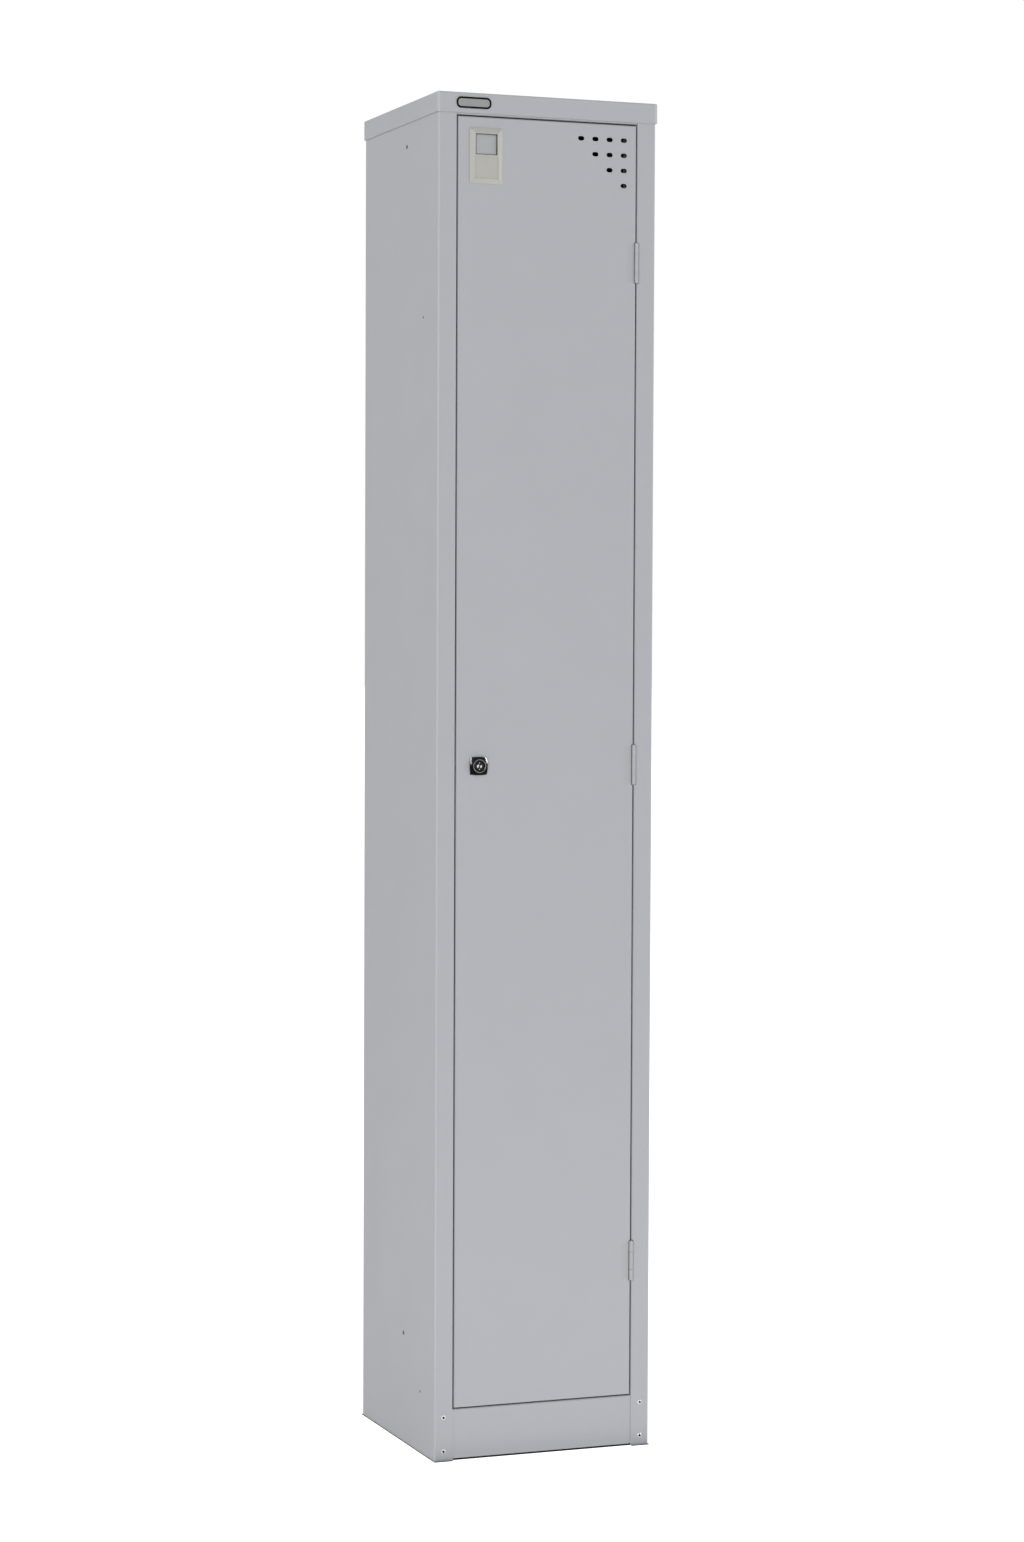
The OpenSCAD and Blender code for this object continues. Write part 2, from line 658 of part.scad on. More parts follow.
// Door skin with folded edges and a lip all round its back
module door_panel() color(paint) difference() {
    facing_front(0, front_y + door_d / 2, door_mid) difference() {
        folded_block(2 * door_x, door_h, door_d, fold_out);
        folded_block(2 * (door_x - sheet_t), door_h - 2 * sheet_t, door_d - 2 * sheet_t, fold_r);
        translate([0, 0, -door_d / 2])
            cube([2 * (door_x - door_lip_w), door_h - 2 * door_lip_w, door_d], center = true);
    }
    barrel_notches();
    vents();
    at_lock() cylinder(r = lock_body_r + hole_gap, h = 4 * sheet_t, center = true);
    at_holder() at_pegs() cylinder(r = peg_r + hole_gap, h = 4 * sheet_t, center = true);
}

// Rows of slots that shorten downwards and line up at the hinge side
module vents() for (row = [0 : vent_rows - 1], column = [0 : vent_rows - 1 - row])
    facing_front(door_x - vent_side - column * vent_pitch_x, front_y, door_high - vent_top - row * vent_pitch_z) {
        straight = vent_l - vent_h;
        for (end = [-1, 1]) translate([end * straight / 2, 0, 0]) cylinder(r = vent_h / 2, h = 4 * sheet_t, center = true);
        cube([straight, vent_h, 4 * sheet_t], center = true);
    }

// Hat-shaped channel welded down the inside of the door
module door_stiffener() color(paint) {
    inside = front_y + sheet_t;
    half = stiffener_w / 2;
    far = half + stiffener_flange_w;
    translate([0, inside, door_low + stiffener_end]) linear_extrude(door_h - 2 * stiffener_end)
        folded_strip([[far, sheet_t], [half, sheet_t], [half, stiffener_d], [-half, stiffener_d],
            [-half, sheet_t], [-far, sheet_t]]);
}

module at_lock() facing_front(lock_x, front_y, lock_z) children();

// Housing of the cam lock: a domed square front, a rim round the key and a threaded body
module lock_body() color(black) at_lock() difference() {
    union() {
        intersection() {
            linear_extrude(bezel_proud) intersection() {
                intersection_for (side = [-1, 1]) intersection() {
                    translate([side * (bezel_w / 2 - bezel_side_r), 0]) circle(bezel_side_r);
                    translate([0, side * (bezel_h / 2 - bezel_side_r)]) circle(bezel_side_r);
                }
                circle(norm([bezel_w, bezel_h]) / 2 - bezel_corner);
            }
            translate([0, 0, bezel_proud - bezel_dome_r]) sphere(bezel_dome_r);
        }
        cylinder(r = rim_r, h = bezel_proud + rim_w / 2);
        translate([0, 0, -plug_back]) cylinder(r = lock_body_r, h = plug_back);
    }
    translate([0, 0, bezel_proud - rim_w]) cylinder(r = rim_r - rim_w, h = 2 * rim_w);
    cylinder(r = plug_r + running_gap, h = 4 * plug_back, center = true);
}

module lock_nut() color(zinc) at_lock() translate([0, 0, -sheet_t - lock_nut_t]) difference() {
    cylinder(d = lock_nut_af / cos(30), h = lock_nut_t, $fn = 6);
    cylinder(r = lock_body_r + running_gap, h = 4 * lock_nut_t, center = true);
}

// The part that turns with the key
module lock_plug() color(zinc) at_lock() difference() {
    face = bezel_proud - rim_w / 2;
    union() {
        translate([0, 0, -plug_back]) cylinder(r = plug_r, h = plug_back + face);
        translate([0, 0, -cam_face - cam_t / 2]) cube([plug_square, plug_square, cam_t + over], center = true);
    }
    translate([0, 0, face]) {
        cube([key_slot_w, key_slot_h, key_slot_h], center = true);
        for (side = [-1, 1]) translate([side * key_slot_w / 2, side * key_slot_h / 4, 0])
            cube([key_slot_w, key_slot_h / 3, key_slot_h], center = true);
    }
    translate([0, 0, -cam_face - cam_t - over]) cylinder(r = cam_screw_r + running_gap, h = cam_screw_l + 2 * over);
}

// Hangs down when the lock is open and turns behind the door stop
module lock_cam() color(zinc) at_lock() translate([0, 0, -cam_face - cam_t]) difference() {
    linear_extrude(cam_t) {
        circle(cam_w / 2);
        translate([-cam_w / 2, -cam_l + cam_w / 4]) square([cam_w, cam_l - cam_w / 4]);
        translate([-cam_w / 4, -cam_l]) square([cam_w / 2, cam_l]);
        for (side = [-1, 1]) translate([side * cam_w / 4, -cam_l + cam_w / 4]) circle(cam_w / 4);
    }
    cube([plug_square + 2 * running_gap, plug_square + 2 * running_gap, 4 * cam_t], center = true);
}

module cam_washer() color(zinc) at_lock() translate([0, 0, -cam_face - cam_t - over - cam_washer_t]) difference() {
    cylinder(r = cam_washer_r, h = cam_washer_t);
    cylinder(r = cam_screw_r + running_gap, h = 4 * cam_washer_t, center = true);
}

module cam_screw() color(zinc) at_lock() translate([0, 0, -cam_face - cam_t - over - cam_washer_t]) difference() {
    union() {
        cylinder(r = cam_screw_r, h = cam_screw_l);
        translate([0, 0, -cam_screw_head_h]) cylinder(r = cam_screw_head_r, h = cam_screw_head_h);
    }
    for (turn = [0, 90]) rotate(turn) translate([0, 0, -cam_screw_head_h])
        cube([cam_screw_head_r, cam_screw_r / 2, cam_screw_head_h], center = true);
}

module at_holder() facing_front(holder_x, front_y, holder_z) children();
module at_pegs() for (y = [-peg_y, peg_y]) translate([0, y, 0]) children();

// Plastic frame with a window for the card, a sunk panel below it and a pocket behind
module card_holder() color(cream) at_holder() difference() {
    union() {
        hull() {
            linear_extrude(holder_t / 3) round_rect(holder_w, holder_h, holder_corner, $fn = 32);
            linear_extrude(holder_t)
                round_rect(holder_w - 2 * holder_bevel, holder_h - 2 * holder_bevel, holder_corner, $fn = 32);
        }
        at_pegs() translate([0, 0, -sheet_t - peg_l]) cylinder(r = peg_r, h = sheet_t + peg_l);
    }
    translate([0, window_y(), 0]) cube([window_w, window_h, 4 * holder_t], center = true);
    translate([0, window_y() - window_h / 2 - panel_gap - panel_h / 2, holder_t])
        cube([panel_w, panel_h, 2 * panel_sink], center = true);
    cube([pocket_w, pocket_h, 2 * (card_t + window_t + 2 * hole_gap)], center = true);
}

function window_y() = holder_h / 2 - window_top - window_h / 2;

module card_window() color([0.8, 0.85, 0.9, 0.4]) at_holder()
    translate([0, 0, card_t + hole_gap + window_t / 2])
        cube([pocket_w - 2 * hole_gap, pocket_h - 2 * hole_gap, window_t], center = true);

module name_card() color([0.66, 0.66, 0.67]) at_holder() translate([0, 0, card_t / 2])
    cube([pocket_w - 2 * hole_gap, pocket_h - 2 * hole_gap, card_t], center = true);

$fn = 64;
left_side_panel();
right_side_panel();
back_panel();
top_cap();
header_rail();
kick_plate();
floor_pan();
hat_shelf();
strike_plate();
name_plate();
door_buffers();
coat_rail();
coat_rail_caps();
coat_rail_brackets();
coat_hooks();
kick_plate_rivets();
side_rivets();
back_rivets();
bracket_rivets();
hook_rivets();
upper_hinge_frame_leaf();
middle_hinge_frame_leaf();
lower_hinge_frame_leaf();
upper_hinge_pin();
middle_hinge_pin();
lower_hinge_pin();
door_panel();
door_stiffener();
upper_hinge_door_leaf();
middle_hinge_door_leaf();
lower_hinge_door_leaf();
card_holder();
card_window();
name_card();
lock_body();
lock_nut();
lock_plug();
lock_cam();
cam_washer();
cam_screw();
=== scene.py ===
"""Looks of a tall sheet-steel locker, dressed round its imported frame.

Lengths are metres in the frame's axes: +X right seen from the front, +Y to the back, +Z up, the door shut.
New pieces are modelled about the origin, standing on the XY plane, then turned and set in their place.
"""

import logging
import math
from collections.abc import Callable, Iterable, Sequence
from dataclasses import dataclass
from enum import Enum
from typing import Self

import bpy
from mathutils import Euler, Matrix, Vector


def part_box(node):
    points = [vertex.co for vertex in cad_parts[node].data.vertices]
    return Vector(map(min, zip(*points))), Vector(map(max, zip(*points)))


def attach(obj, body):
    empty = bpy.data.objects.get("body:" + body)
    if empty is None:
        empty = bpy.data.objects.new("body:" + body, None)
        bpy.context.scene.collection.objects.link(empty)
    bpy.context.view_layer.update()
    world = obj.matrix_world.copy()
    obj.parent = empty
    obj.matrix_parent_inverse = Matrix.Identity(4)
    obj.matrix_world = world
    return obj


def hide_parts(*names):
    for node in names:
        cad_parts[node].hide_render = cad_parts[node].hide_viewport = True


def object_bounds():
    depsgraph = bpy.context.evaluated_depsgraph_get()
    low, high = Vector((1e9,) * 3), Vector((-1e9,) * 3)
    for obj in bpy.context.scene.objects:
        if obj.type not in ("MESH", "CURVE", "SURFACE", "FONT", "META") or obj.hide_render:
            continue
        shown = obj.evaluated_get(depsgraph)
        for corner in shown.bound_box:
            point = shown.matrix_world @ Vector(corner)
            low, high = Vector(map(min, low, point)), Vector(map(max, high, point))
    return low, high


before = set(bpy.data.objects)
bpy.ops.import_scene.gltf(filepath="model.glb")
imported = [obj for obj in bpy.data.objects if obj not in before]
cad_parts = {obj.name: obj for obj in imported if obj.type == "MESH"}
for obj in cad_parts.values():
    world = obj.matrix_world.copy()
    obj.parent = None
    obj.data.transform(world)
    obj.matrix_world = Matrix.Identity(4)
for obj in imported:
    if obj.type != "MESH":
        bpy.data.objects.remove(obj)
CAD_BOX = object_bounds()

Colour = tuple[float, float, float]
Span = tuple[float, float]
Rings = tuple[tuple[float, float], ...]
Socket = bpy.types.NodeSocket
Test = Callable[[Vector, Vector], bool]

MM = 0.001
HAIR = 1e-5  # a step too small to see, which keeps two edges apart
MERGE = HAIR / 10  # corners nearer than this are one
SHEET_T = 0.9 * MM
FLAT = math.radians(0.4)  # faces that turn by less than this make one flat face
STEEP = 0.9  # a normal that rises by more than this looks up
NOISE_SPAN = (0.3, 0.7)  # where most of a noise pattern's values lie
log = logging.getLogger("locker")


class Body(Enum):
    """The bodies that a piece can ride on."""

    CARCASS = "carcass"
    DOOR = "door"
    LOCK = "lock"


class Slot(Enum):
    """The record's material slots."""

    BODY_PAINT = "body_paint"
    DOOR_PAINT = "door_paint"
    ZINC = "zinc_steel"
    PLATE = "plate_metal"
    RUBBER = "buffer_rubber"
    BLACK_PLASTIC = "black_plastic"
    CREAM_PLASTIC = "cream_plastic"
    CLEAR_PLASTIC = "clear_plastic"
    CARD = "card"
    LOCK_BLACK = "lock_black"
    LOCK_METAL = "lock_metal"


class Facing(Enum):
    """Which way a piece's +Z looks once it is set in place, as turns about X, Y and Z in degrees."""

    UP = (0, 0, 0)
    DOWN = (180, 0, 0)
    FRONT = (90, 0, 0)
    BACK = (-90, 0, 0)
    LEFT = (0, -90, 0)
    RIGHT = (0, 90, 0)

    @property
    def turn(self) -> tuple[float, float, float]:
        """The turns in radians."""
        return tuple(math.radians(angle) for angle in self.value)

    @property
    def way(self) -> Vector:
        """The direction that the piece's +Z looks in."""
        return Euler(self.turn).to_matrix() @ Vector((0, 0, 1))


class Nodes:
    """A tree of shader nodes."""

    def __init__(self, tree: bpy.types.NodeTree) -> None:
        """Takes the tree that nodes are added to."""
        self.tree = tree

    def put(self, kind: str, inputs: dict[str | int, object], **settings: object) -> bpy.types.Node:
        """Adds a node.

        Args:
            kind: The node's type without its ShaderNode prefix.
            inputs: A value or another node's output for each input socket.
            settings: Values for the node's own properties.

        Returns:
            The new node.
        """
        node = self.tree.nodes.new("ShaderNode" + kind)
        for key, value in settings.items():
            setattr(node, key, value)
        for socket, value in inputs.items():
            if isinstance(value, Socket):
                self.tree.links.new(value, node.inputs[socket])
            else:
                node.inputs[socket].default_value = value
        return node

    def compute(self, operation: str, first: Socket | float, second: Socket | float = 0.0) -> Socket:
        """Works something out from one or two values, and returns the result."""
        return self.put("Math", {0: first, 1: second}, operation=operation).outputs[0]

    def diagonal(self, across: Socket, along: Socket) -> Socket:
        """Returns how far off a point is that lies so far across and so far along."""
        squares = [self.compute("MULTIPLY", side, side) for side in (across, along)]
        return self.compute("SQRT", self.compute("ADD", *squares))

    def remap(self, value: Socket, span: Span, result: Span, shape: str = "LINEAR") -> Socket:
        """Maps a span of a value to a span of results along a shape, and returns the result."""
        inputs = {"Value": value, "From Min": span[0], "From Max": span[1], "To Min": result[0],
                  "To Max": result[1]}
        return self.put("MapRange", inputs, interpolation_type=shape).outputs["Result"]

    def rays(self, *kinds: str) -> Socket:
        """Tells rays apart.

        Args:
            kinds: The kinds to look for, such as Camera.

        Returns:
            1 for a ray of one of the kinds, and 0 for any other.
        """
        path = self.put("LightPath", {}).outputs
        found = path[f"Is {kinds[0]} Ray"]
        for kind in kinds[1:]:
            found = self.compute("MAXIMUM", found, path[f"Is {kind} Ray"])
        return found


class Wiring(Nodes):
    """The shader nodes of one material."""

    def __init__(self, name: str, **surface: float | tuple) -> None:
        """Starts a material.

        Args:
            name: The material's name.
            surface: Values for the surface shader's own sockets, with _ for each space in a name.
        """
        self.material = bpy.data.materials.new(name)
        self.material.use_nodes = True
        super().__init__(self.material.node_tree)
        self.shader = self.tree.nodes["Principled BSDF"]
        self.points = self.put("TexCoord", {}).outputs["Object"]
        for socket, value in surface.items():
            self.shader.inputs[socket.replace("_", " ")].default_value = value

    def axes(self) -> Sequence[Socket]:
        """Returns the point's X, Y and Z."""
        return self.put("SeparateXYZ", {0: self.points}).outputs

    def noise(self, size: float, stretch: tuple = (1, 1, 1), detail: float = 2) -> Socket:
        """Makes a noise pattern.

        Args:
            size: The width of its blobs in metres.
            stretch: How much the pattern is squeezed along each axis.
            detail: How many finer layers it has.

        Returns:
            The pattern from 0 to 1.
        """
        points = self.put("Mapping", {"Vector": self.points, "Scale": stretch}).outputs["Vector"]
        return self.put("TexNoise", {"Vector": points, "Scale": 1 / size, "Detail": detail}).outputs["Fac"]

    def spread(self, pattern: Socket, low: float, high: float) -> Socket:
        """Maps a noise pattern's middle range to the values given, and returns the result."""
        return self.remap(pattern, NOISE_SPAN, (low, high))

    def tint(self, under: Colour | Socket, over: Colour, share: Socket) -> None:
        """Colours the surface with a mix from one colour to another by a share."""
        start = under if isinstance(under, Socket) else (*under, 1)
        mixed = self.put("Mix", {"Factor": share, "A": start, "B": (*over, 1)}, data_type="RGBA")
        self.feed("Base Color", mixed.outputs["Result"])

    def mottle(self, colour: Colour, drift: float, share: Socket) -> None:
        """Colours the surface, with each channel lowered by a drift where the share is 0."""
        self.tint(tuple(channel * (1 - drift) for channel in colour), colour, share)

    def overlay(self, colour: Colour, share: Socket) -> None:
        """Lays a colour over the surface's colour by a share."""
        self.tint(self.shader.inputs["Base Color"].links[0].from_socket, colour, share)

    def feed(self, socket: str, value: Socket) -> None:
        """Links a pattern into the surface shader."""
        self.tree.links.new(value, self.shader.inputs[socket])

    def emboss(self, *layers: tuple[Socket, float]) -> None:
        """Lays patterns over each other as relief.

        Args:
            layers: Each pattern with its height in metres.
        """
        inputs = {"Strength": 1.0}
        for pattern, height in layers:
            bump = self.put("Bump", {**inputs, "Height": pattern, "Distance": height})
            inputs["Normal"] = bump.outputs["Normal"]
        self.feed("Normal", inputs["Normal"])


@dataclass(frozen=True)
class PowderCoat:
    """Baked satin powder paint on sheet steel."""

    name: str
    colour: Colour = (0.405, 0.411, 0.438)
    drift: float = 0.025
    rough: Span = (0.40, 0.48)
    ior: float = 1.45
    cloud_size: float = 70 * MM
    speck_size: float = 1.1 * MM
    speck_share: float = 0.45
    peel_size: float = 1.7 * MM
    peel_depth: float = 0.012 * MM
    wave_size: float = 160 * MM
    wave_depth: float = 0.05 * MM

    def wire(self) -> Wiring:
        """Wires the paint.

        Returns:
            Its nodes: clouds and specks of colour over orange peel and slow waves in the sheet.
        """
        wiring = Wiring(self.name, IOR=self.ior)
        clouds = wiring.noise(self.cloud_size, detail=3)
        specks = wiring.noise(self.speck_size, detail=1)
        mixed = wiring.put("Mix", {"Factor": self.speck_share, "A": clouds, "B": specks}).outputs["Result"]
        wiring.mottle(self.colour, self.drift, wiring.spread(mixed, 0, 1))
        wiring.feed("Roughness", wiring.spread(clouds, *self.rough))
        waves = wiring.noise(self.wave_size, detail=0)
        peel = wiring.noise(self.peel_size, detail=1)
        wiring.emboss((waves, self.wave_depth), (peel, self.peel_depth))
        return wiring


@dataclass(frozen=True)
class BodyCoat(PowderCoat):
    """The body's paint, with a painted highlight: a lighter colour along the bends of its two front edges."""

    bend_highlight_colour: Colour = (0.462, 0.468, 0.498)
    bend_at: Span = (156.5 * MM, -153 * MM)
    bend_highlight_reach: Span = (1.7 * MM, 3.0 * MM)

    def material(self) -> bpy.types.Material:
        """Returns the paint's material with the painted highlight along its bends."""
        wiring = self.wire()
        places = wiring.axes()
        across = wiring.compute("SUBTRACT", wiring.compute("ABSOLUTE", places["X"]), self.bend_at[0])
        along = wiring.compute("SUBTRACT", places["Y"], self.bend_at[1])
        # painted highlight: the colour turns lighter within a few mm of each front bend
        on_bend_highlight = wiring.remap(wiring.diagonal(across, along), self.bend_highlight_reach, (1, 0), "SMOOTHSTEP")
        wiring.overlay(self.bend_highlight_colour, on_bend_highlight)
        return wiring.material


@dataclass(frozen=True)
class DoorCoat(PowderCoat):
    """The door's paint, with a faint darker patch on its face beside each hinge."""

    patch_colour: Colour = (0.378, 0.390, 0.400)
    patch_x: float = 120 * MM
    patch_half_w: float = 5.5 * MM
    patch_half_h: float = 26 * MM
    patch_soft: float = 2.5 * MM
    hinge_z: float = 935 * MM
    hinge_pitch: float = 679 * MM

    def material(self) -> bpy.types.Material:
        """Returns the paint's material with its patches."""
        wiring = self.wire()
        places = wiring.axes()
        beside = wiring.compute("ABSOLUTE", wiring.compute("SUBTRACT", places["X"], self.patch_x))
        above = wiring.compute("SUBTRACT", places["Z"], self.hinge_z)
        above = wiring.compute("PINGPONG", above, self.hinge_pitch / 2)
        within = [wiring.remap(off, (half - self.patch_soft, half + self.patch_soft), (1, 0), "SMOOTHSTEP")
                  for off, half in ((beside, self.patch_half_w), (above, self.patch_half_h))]
        wiring.overlay(self.patch_colour, wiring.compute("MULTIPLY", *within))
        return wiring.material


@dataclass(frozen=True)
class Metal:
    """Bare or plated metal with a drawn or cloudy surface."""

    name: str
    colour: Colour
    rough: Span
    grain_size: float
    grain_stretch: tuple = (1, 1, 1)
    grain_depth: float = 0.004 * MM
    stain: float = 0.12
    stain_size: float = 9 * MM

    def material(self) -> bpy.types.Material:
        """Returns the metal's material: stains in its colour, and grain in its roughness and relief."""
        wiring = Wiring(self.name, Metallic=1.0)
        stains = wiring.noise(self.stain_size, detail=4)
        grain = wiring.noise(self.grain_size, self.grain_stretch, detail=3)
        wiring.mottle(self.colour, self.stain, wiring.spread(stains, 0, 1))
        wiring.feed("Roughness", wiring.spread(grain, *self.rough))
        wiring.emboss((grain, self.grain_depth))
        return wiring.material


@dataclass(frozen=True)
class Moulding:
    """Moulded plastic, rubber, lacquer or card: a colour with faint clouds over a fine texture."""

    name: str
    colour: Colour
    rough: Span
    grain_size: float
    grain_depth: float
    drift: float = 0.04
    specular: float = 0.5
    cloud_size: float = 14 * MM

    def material(self) -> bpy.types.Material:
        """Returns the moulding's material."""
        wiring = Wiring(self.name, Specular_IOR_Level=self.specular)
        clouds = wiring.noise(self.cloud_size, detail=3)
        wiring.mottle(self.colour, self.drift, wiring.spread(clouds, 0, 1))
        wiring.feed("Roughness", wiring.spread(clouds, *self.rough))
        wiring.emboss((wiring.noise(self.grain_size), self.grain_depth))
        return wiring.material


@dataclass(frozen=True)
class ClearSheet:
    """Thin clear plastic with faint rubbing marks."""

    name: str
    colour: Colour = (0.93, 0.95, 0.96)
    rough: Span = (0.02, 0.05)
    ior: float = 1.35
    rub_size: float = 6 * MM
    rub_stretch: tuple = (1, 1, 0.2)
    rub_depth: float = 0.0002 * MM

    def material(self) -> bpy.types.Material:
        """Returns the sheet's material."""
        wiring = Wiring(self.name, Base_Color=(*self.colour, 1), IOR=self.ior, Transmission_Weight=1.0)
        rubs = wiring.noise(self.rub_size, self.rub_stretch, detail=3)
        wiring.feed("Roughness", wiring.spread(rubs, *self.rough))
        wiring.emboss((rubs, self.rub_depth))
        return wiring.material


class Palette:
    """Every finish on the locker, made once."""

    def __init__(self) -> None:
        """Makes the materials."""
        finishes = {
            Slot.BODY_PAINT: BodyCoat("body_powder_coat"),
            Slot.DOOR_PAINT: DoorCoat("door_powder_coat"),
            Slot.ZINC: Metal("zinc_plate", (0.64, 0.65, 0.67), (0.24, 0.40), 0.8 * MM, stain=0.20),
            Slot.PLATE: Metal("satin_aluminium", (0.30, 0.305, 0.31), (0.30, 0.42), 0.35 * MM, (0.03, 1, 1)),
            Slot.RUBBER: Moulding("buffer_rubber", (0.022, 0.022, 0.023), (0.62, 0.78), 0.5 * MM, 0.02 * MM),
            Slot.BLACK_PLASTIC: Moulding("black_plastic", (0.028, 0.028, 0.030), (0.38, 0.50), 0.3 * MM,
                                         0.006 * MM),
            Slot.CREAM_PLASTIC: Moulding("cream_plastic", (0.42, 0.415, 0.385), (0.27, 0.34), 0.5 * MM,
                                         0.004 * MM, drift=0.03),
            Slot.CLEAR_PLASTIC: ClearSheet("clear_sheet"),
            Slot.CARD: Moulding("blank_card", (0.56, 0.555, 0.56), (0.75, 0.88), 0.25 * MM, 0.015 * MM),
            Slot.LOCK_BLACK: Moulding("black_lacquer", (0.0005, 0.0005, 0.0007), (0.09, 0.14), 0.9 * MM,
                                      0.001 * MM, specular=0.08),
            Slot.LOCK_METAL: Metal("worn_nickel", (0.78, 0.77, 0.75), (0.16, 0.28), 0.4 * MM, stain=0.2,
                                   stain_size=2 * MM),
        }
        self.materials = {slot: finish.material() for slot, finish in finishes.items()}
        self.dark_nickel = Metal("dark_nickel", (0.33, 0.32, 0.33), (0.20, 0.32), 0.4 * MM,
                                 stain=0.3).material()
        self.brass = Metal("wafer_brass", (0.14, 0.105, 0.05), (0.35, 0.5), 0.3 * MM).material()
        self.black_nickel = Metal("black_nickel", (0.030, 0.029, 0.031), (0.22, 0.36), 0.4 * MM,
                                  stain=0.3).material()
        # near-black stems: painted shade inside each rivet's eye
        self.snapped_steel = Moulding("snapped_steel", (0.010, 0.010, 0.011), (0.6, 0.8), 0.3 * MM, 0.02 * MM,
                                      specular=0.15).material()

    def __getitem__(self, slot: Slot) -> bpy.types.Material:
        """The material of a slot."""
        return self.materials[slot]


class Workpiece:
    """One mesh on the bench."""

    def __init__(self, item: bpy.types.Object, name: str) -> None:
        """Takes an object onto the bench under a name."""
        self.item = item
        item.name = item.data.name = name

    @classmethod
    def start(cls, name: str, primitive: Callable, **settings: object) -> Self:
        """Starts from a primitive mesh.

        Args:
            name: The piece's name.
            primitive: The operator that adds the mesh.
            settings: The operator's own settings.

        Returns:
            The new workpiece.
        """
        bpy.ops.object.select_all(action="DESELECT")
        primitive(**settings)
        return cls(bpy.context.object, name)

    @classmethod
    def cylinder(cls, name: str, radius: float, depth: float, low: float = 0, sides: int = 48) -> Self:
        """Starts from an upright cylinder with its lower end at a height, and returns the workpiece."""
        piece = cls.start(name, bpy.ops.mesh.primitive_cylinder_add, vertices=sides, radius=radius,
                          depth=depth)
        return piece.shift((0, 0, low + depth / 2))

    @classmethod
    def block(cls, name: str, size: Sequence[float], middle: Sequence[float] = (0, 0, 0)) -> Self:
        """Starts from a block of a size about its middle, and returns the workpiece."""
        piece = cls.start(name, bpy.ops.mesh.primitive_cube_add, size=1)
        piece.item.scale = size
        return piece.shift(middle)

    @classmethod
    def cast_from(cls, node: str, name: str) -> Self:
        """Starts from a copy of a CAD node with its corners merged and its flat faces whole.

        Args:
            node: The CAD node's name.
            name: The piece's name.

        Returns:
            The new workpiece.
        """
        item = bpy.data.objects.new(name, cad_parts[node].data.copy())
        bpy.context.scene.collection.objects.link(item)
        item.data.materials.clear()
        piece = cls(item, name).pick_all()
        bpy.ops.mesh.customdata_custom_splitnormals_clear()
        bpy.ops.mesh.remove_doubles(threshold=MERGE)
        bpy.ops.mesh.dissolve_limited(angle_limit=FLAT)
        return piece.leave()

    def alone(self) -> None:
        """Selects this piece and nothing else."""
        if bpy.context.mode != "OBJECT":
            bpy.ops.object.mode_set(mode="OBJECT")
        bpy.ops.object.select_all(action="DESELECT")
        self.item.select_set(True)
        bpy.context.view_layer.objects.active = self.item

    def settle(self) -> Self:
        """Puts the object's place, turn and scale into its mesh."""
        self.alone()
        bpy.ops.object.transform_apply(location=True, rotation=True, scale=True)
        return self

    def shift(self, by: Sequence[float]) -> Self:
        """Moves the piece."""
        self.item.location = by
        return self.settle()

    def place(self, facing: Facing, at: Sequence[float]) -> Self:
        """Turns the piece to face its way and sets its origin in place."""
        self.item.rotation_euler = facing.turn
        return self.shift(at)

    def unpick(self, kind: str) -> None:
        """Leaves nothing selected in the mesh, and makes its faces or edges the kind to select."""
        self.alone()
        bpy.ops.object.mode_set(mode="EDIT")
        bpy.ops.mesh.select_mode(type=kind)
        bpy.ops.mesh.select_all(action="DESELECT")
        bpy.ops.object.mode_set(mode="OBJECT")

    def pick(self, test: Test) -> Self:
        """Selects faces in edit mode.

        Args:
            test: Says from a face's middle and normal whether it is selected.

        Returns:
            The workpiece, in edit mode.
        """
        self.unpick("FACE")
        for face in self.item.data.polygons:
            face.select = test(face.center, face.normal)
        bpy.ops.object.mode_set(mode="EDIT")
        return self

    def pick_all(self) -> Self:
        """Selects every face."""
        return self.pick(lambda middle, normal: True)

    def pick_top(self) -> Self:
        """Selects the highest face that looks up."""
        top = max(face.center.z for face in self.item.data.polygons)
        return self.pick(lambda middle, normal: normal.z > STEEP and middle.z > top - HAIR)

    def pick_bottom(self) -> Self:
        """Selects the lowest face that looks down."""
        low = min(face.center.z for face in self.item.data.polygons)
        return self.pick(lambda middle, normal: normal.z < -STEEP and middle.z < low + HAIR)

    def rings(self, profile: Iterable[tuple[float, float]], radius: float, height: float) -> Self:
        """Insets the picked round face again and again along a profile.

        Args:
            profile: The radius and height of each ring, in order.
            radius: The radius of the face to start with.
            height: The height of the face to start with.

        Returns:
            The workpiece, out of edit mode.
        """
        for ring_r, ring_z in profile:
            bpy.ops.mesh.inset(thickness=max(radius - ring_r, HAIR), depth=ring_z - height)
            radius, height = ring_r, ring_z
        return self.leave()

    def stretch(self, steps: Iterable[tuple[float, float]]) -> Self:
        """Extrudes the picked face downwards, scaling it at each step.

        Args:
            steps: The length and the scale of each step, in order.

        Returns:
            The workpiece, out of edit mode.
        """
        for length, scale in steps:
            bpy.ops.mesh.extrude_region_move(TRANSFORM_OT_translate={"value": (0, 0, -length)})
            bpy.ops.transform.resize(value=(scale, scale, 1))
        return self.leave()

    def leave(self) -> Self:
        """Goes back to object mode."""
        bpy.ops.object.mode_set(mode="OBJECT")
        return self

    def modify(self, kind: str, **settings: object) -> Self:
        """Adds a modifier and applies it.

        Args:
            kind: The modifier's type.
            settings: Its settings.

        Returns:
            The workpiece.
        """
        self.alone()
        step = self.item.modifiers.new(kind.lower(), kind)
        for key, value in settings.items():
            setattr(step, key, value)
        bpy.ops.object.modifier_apply(modifier=step.name)
        return self

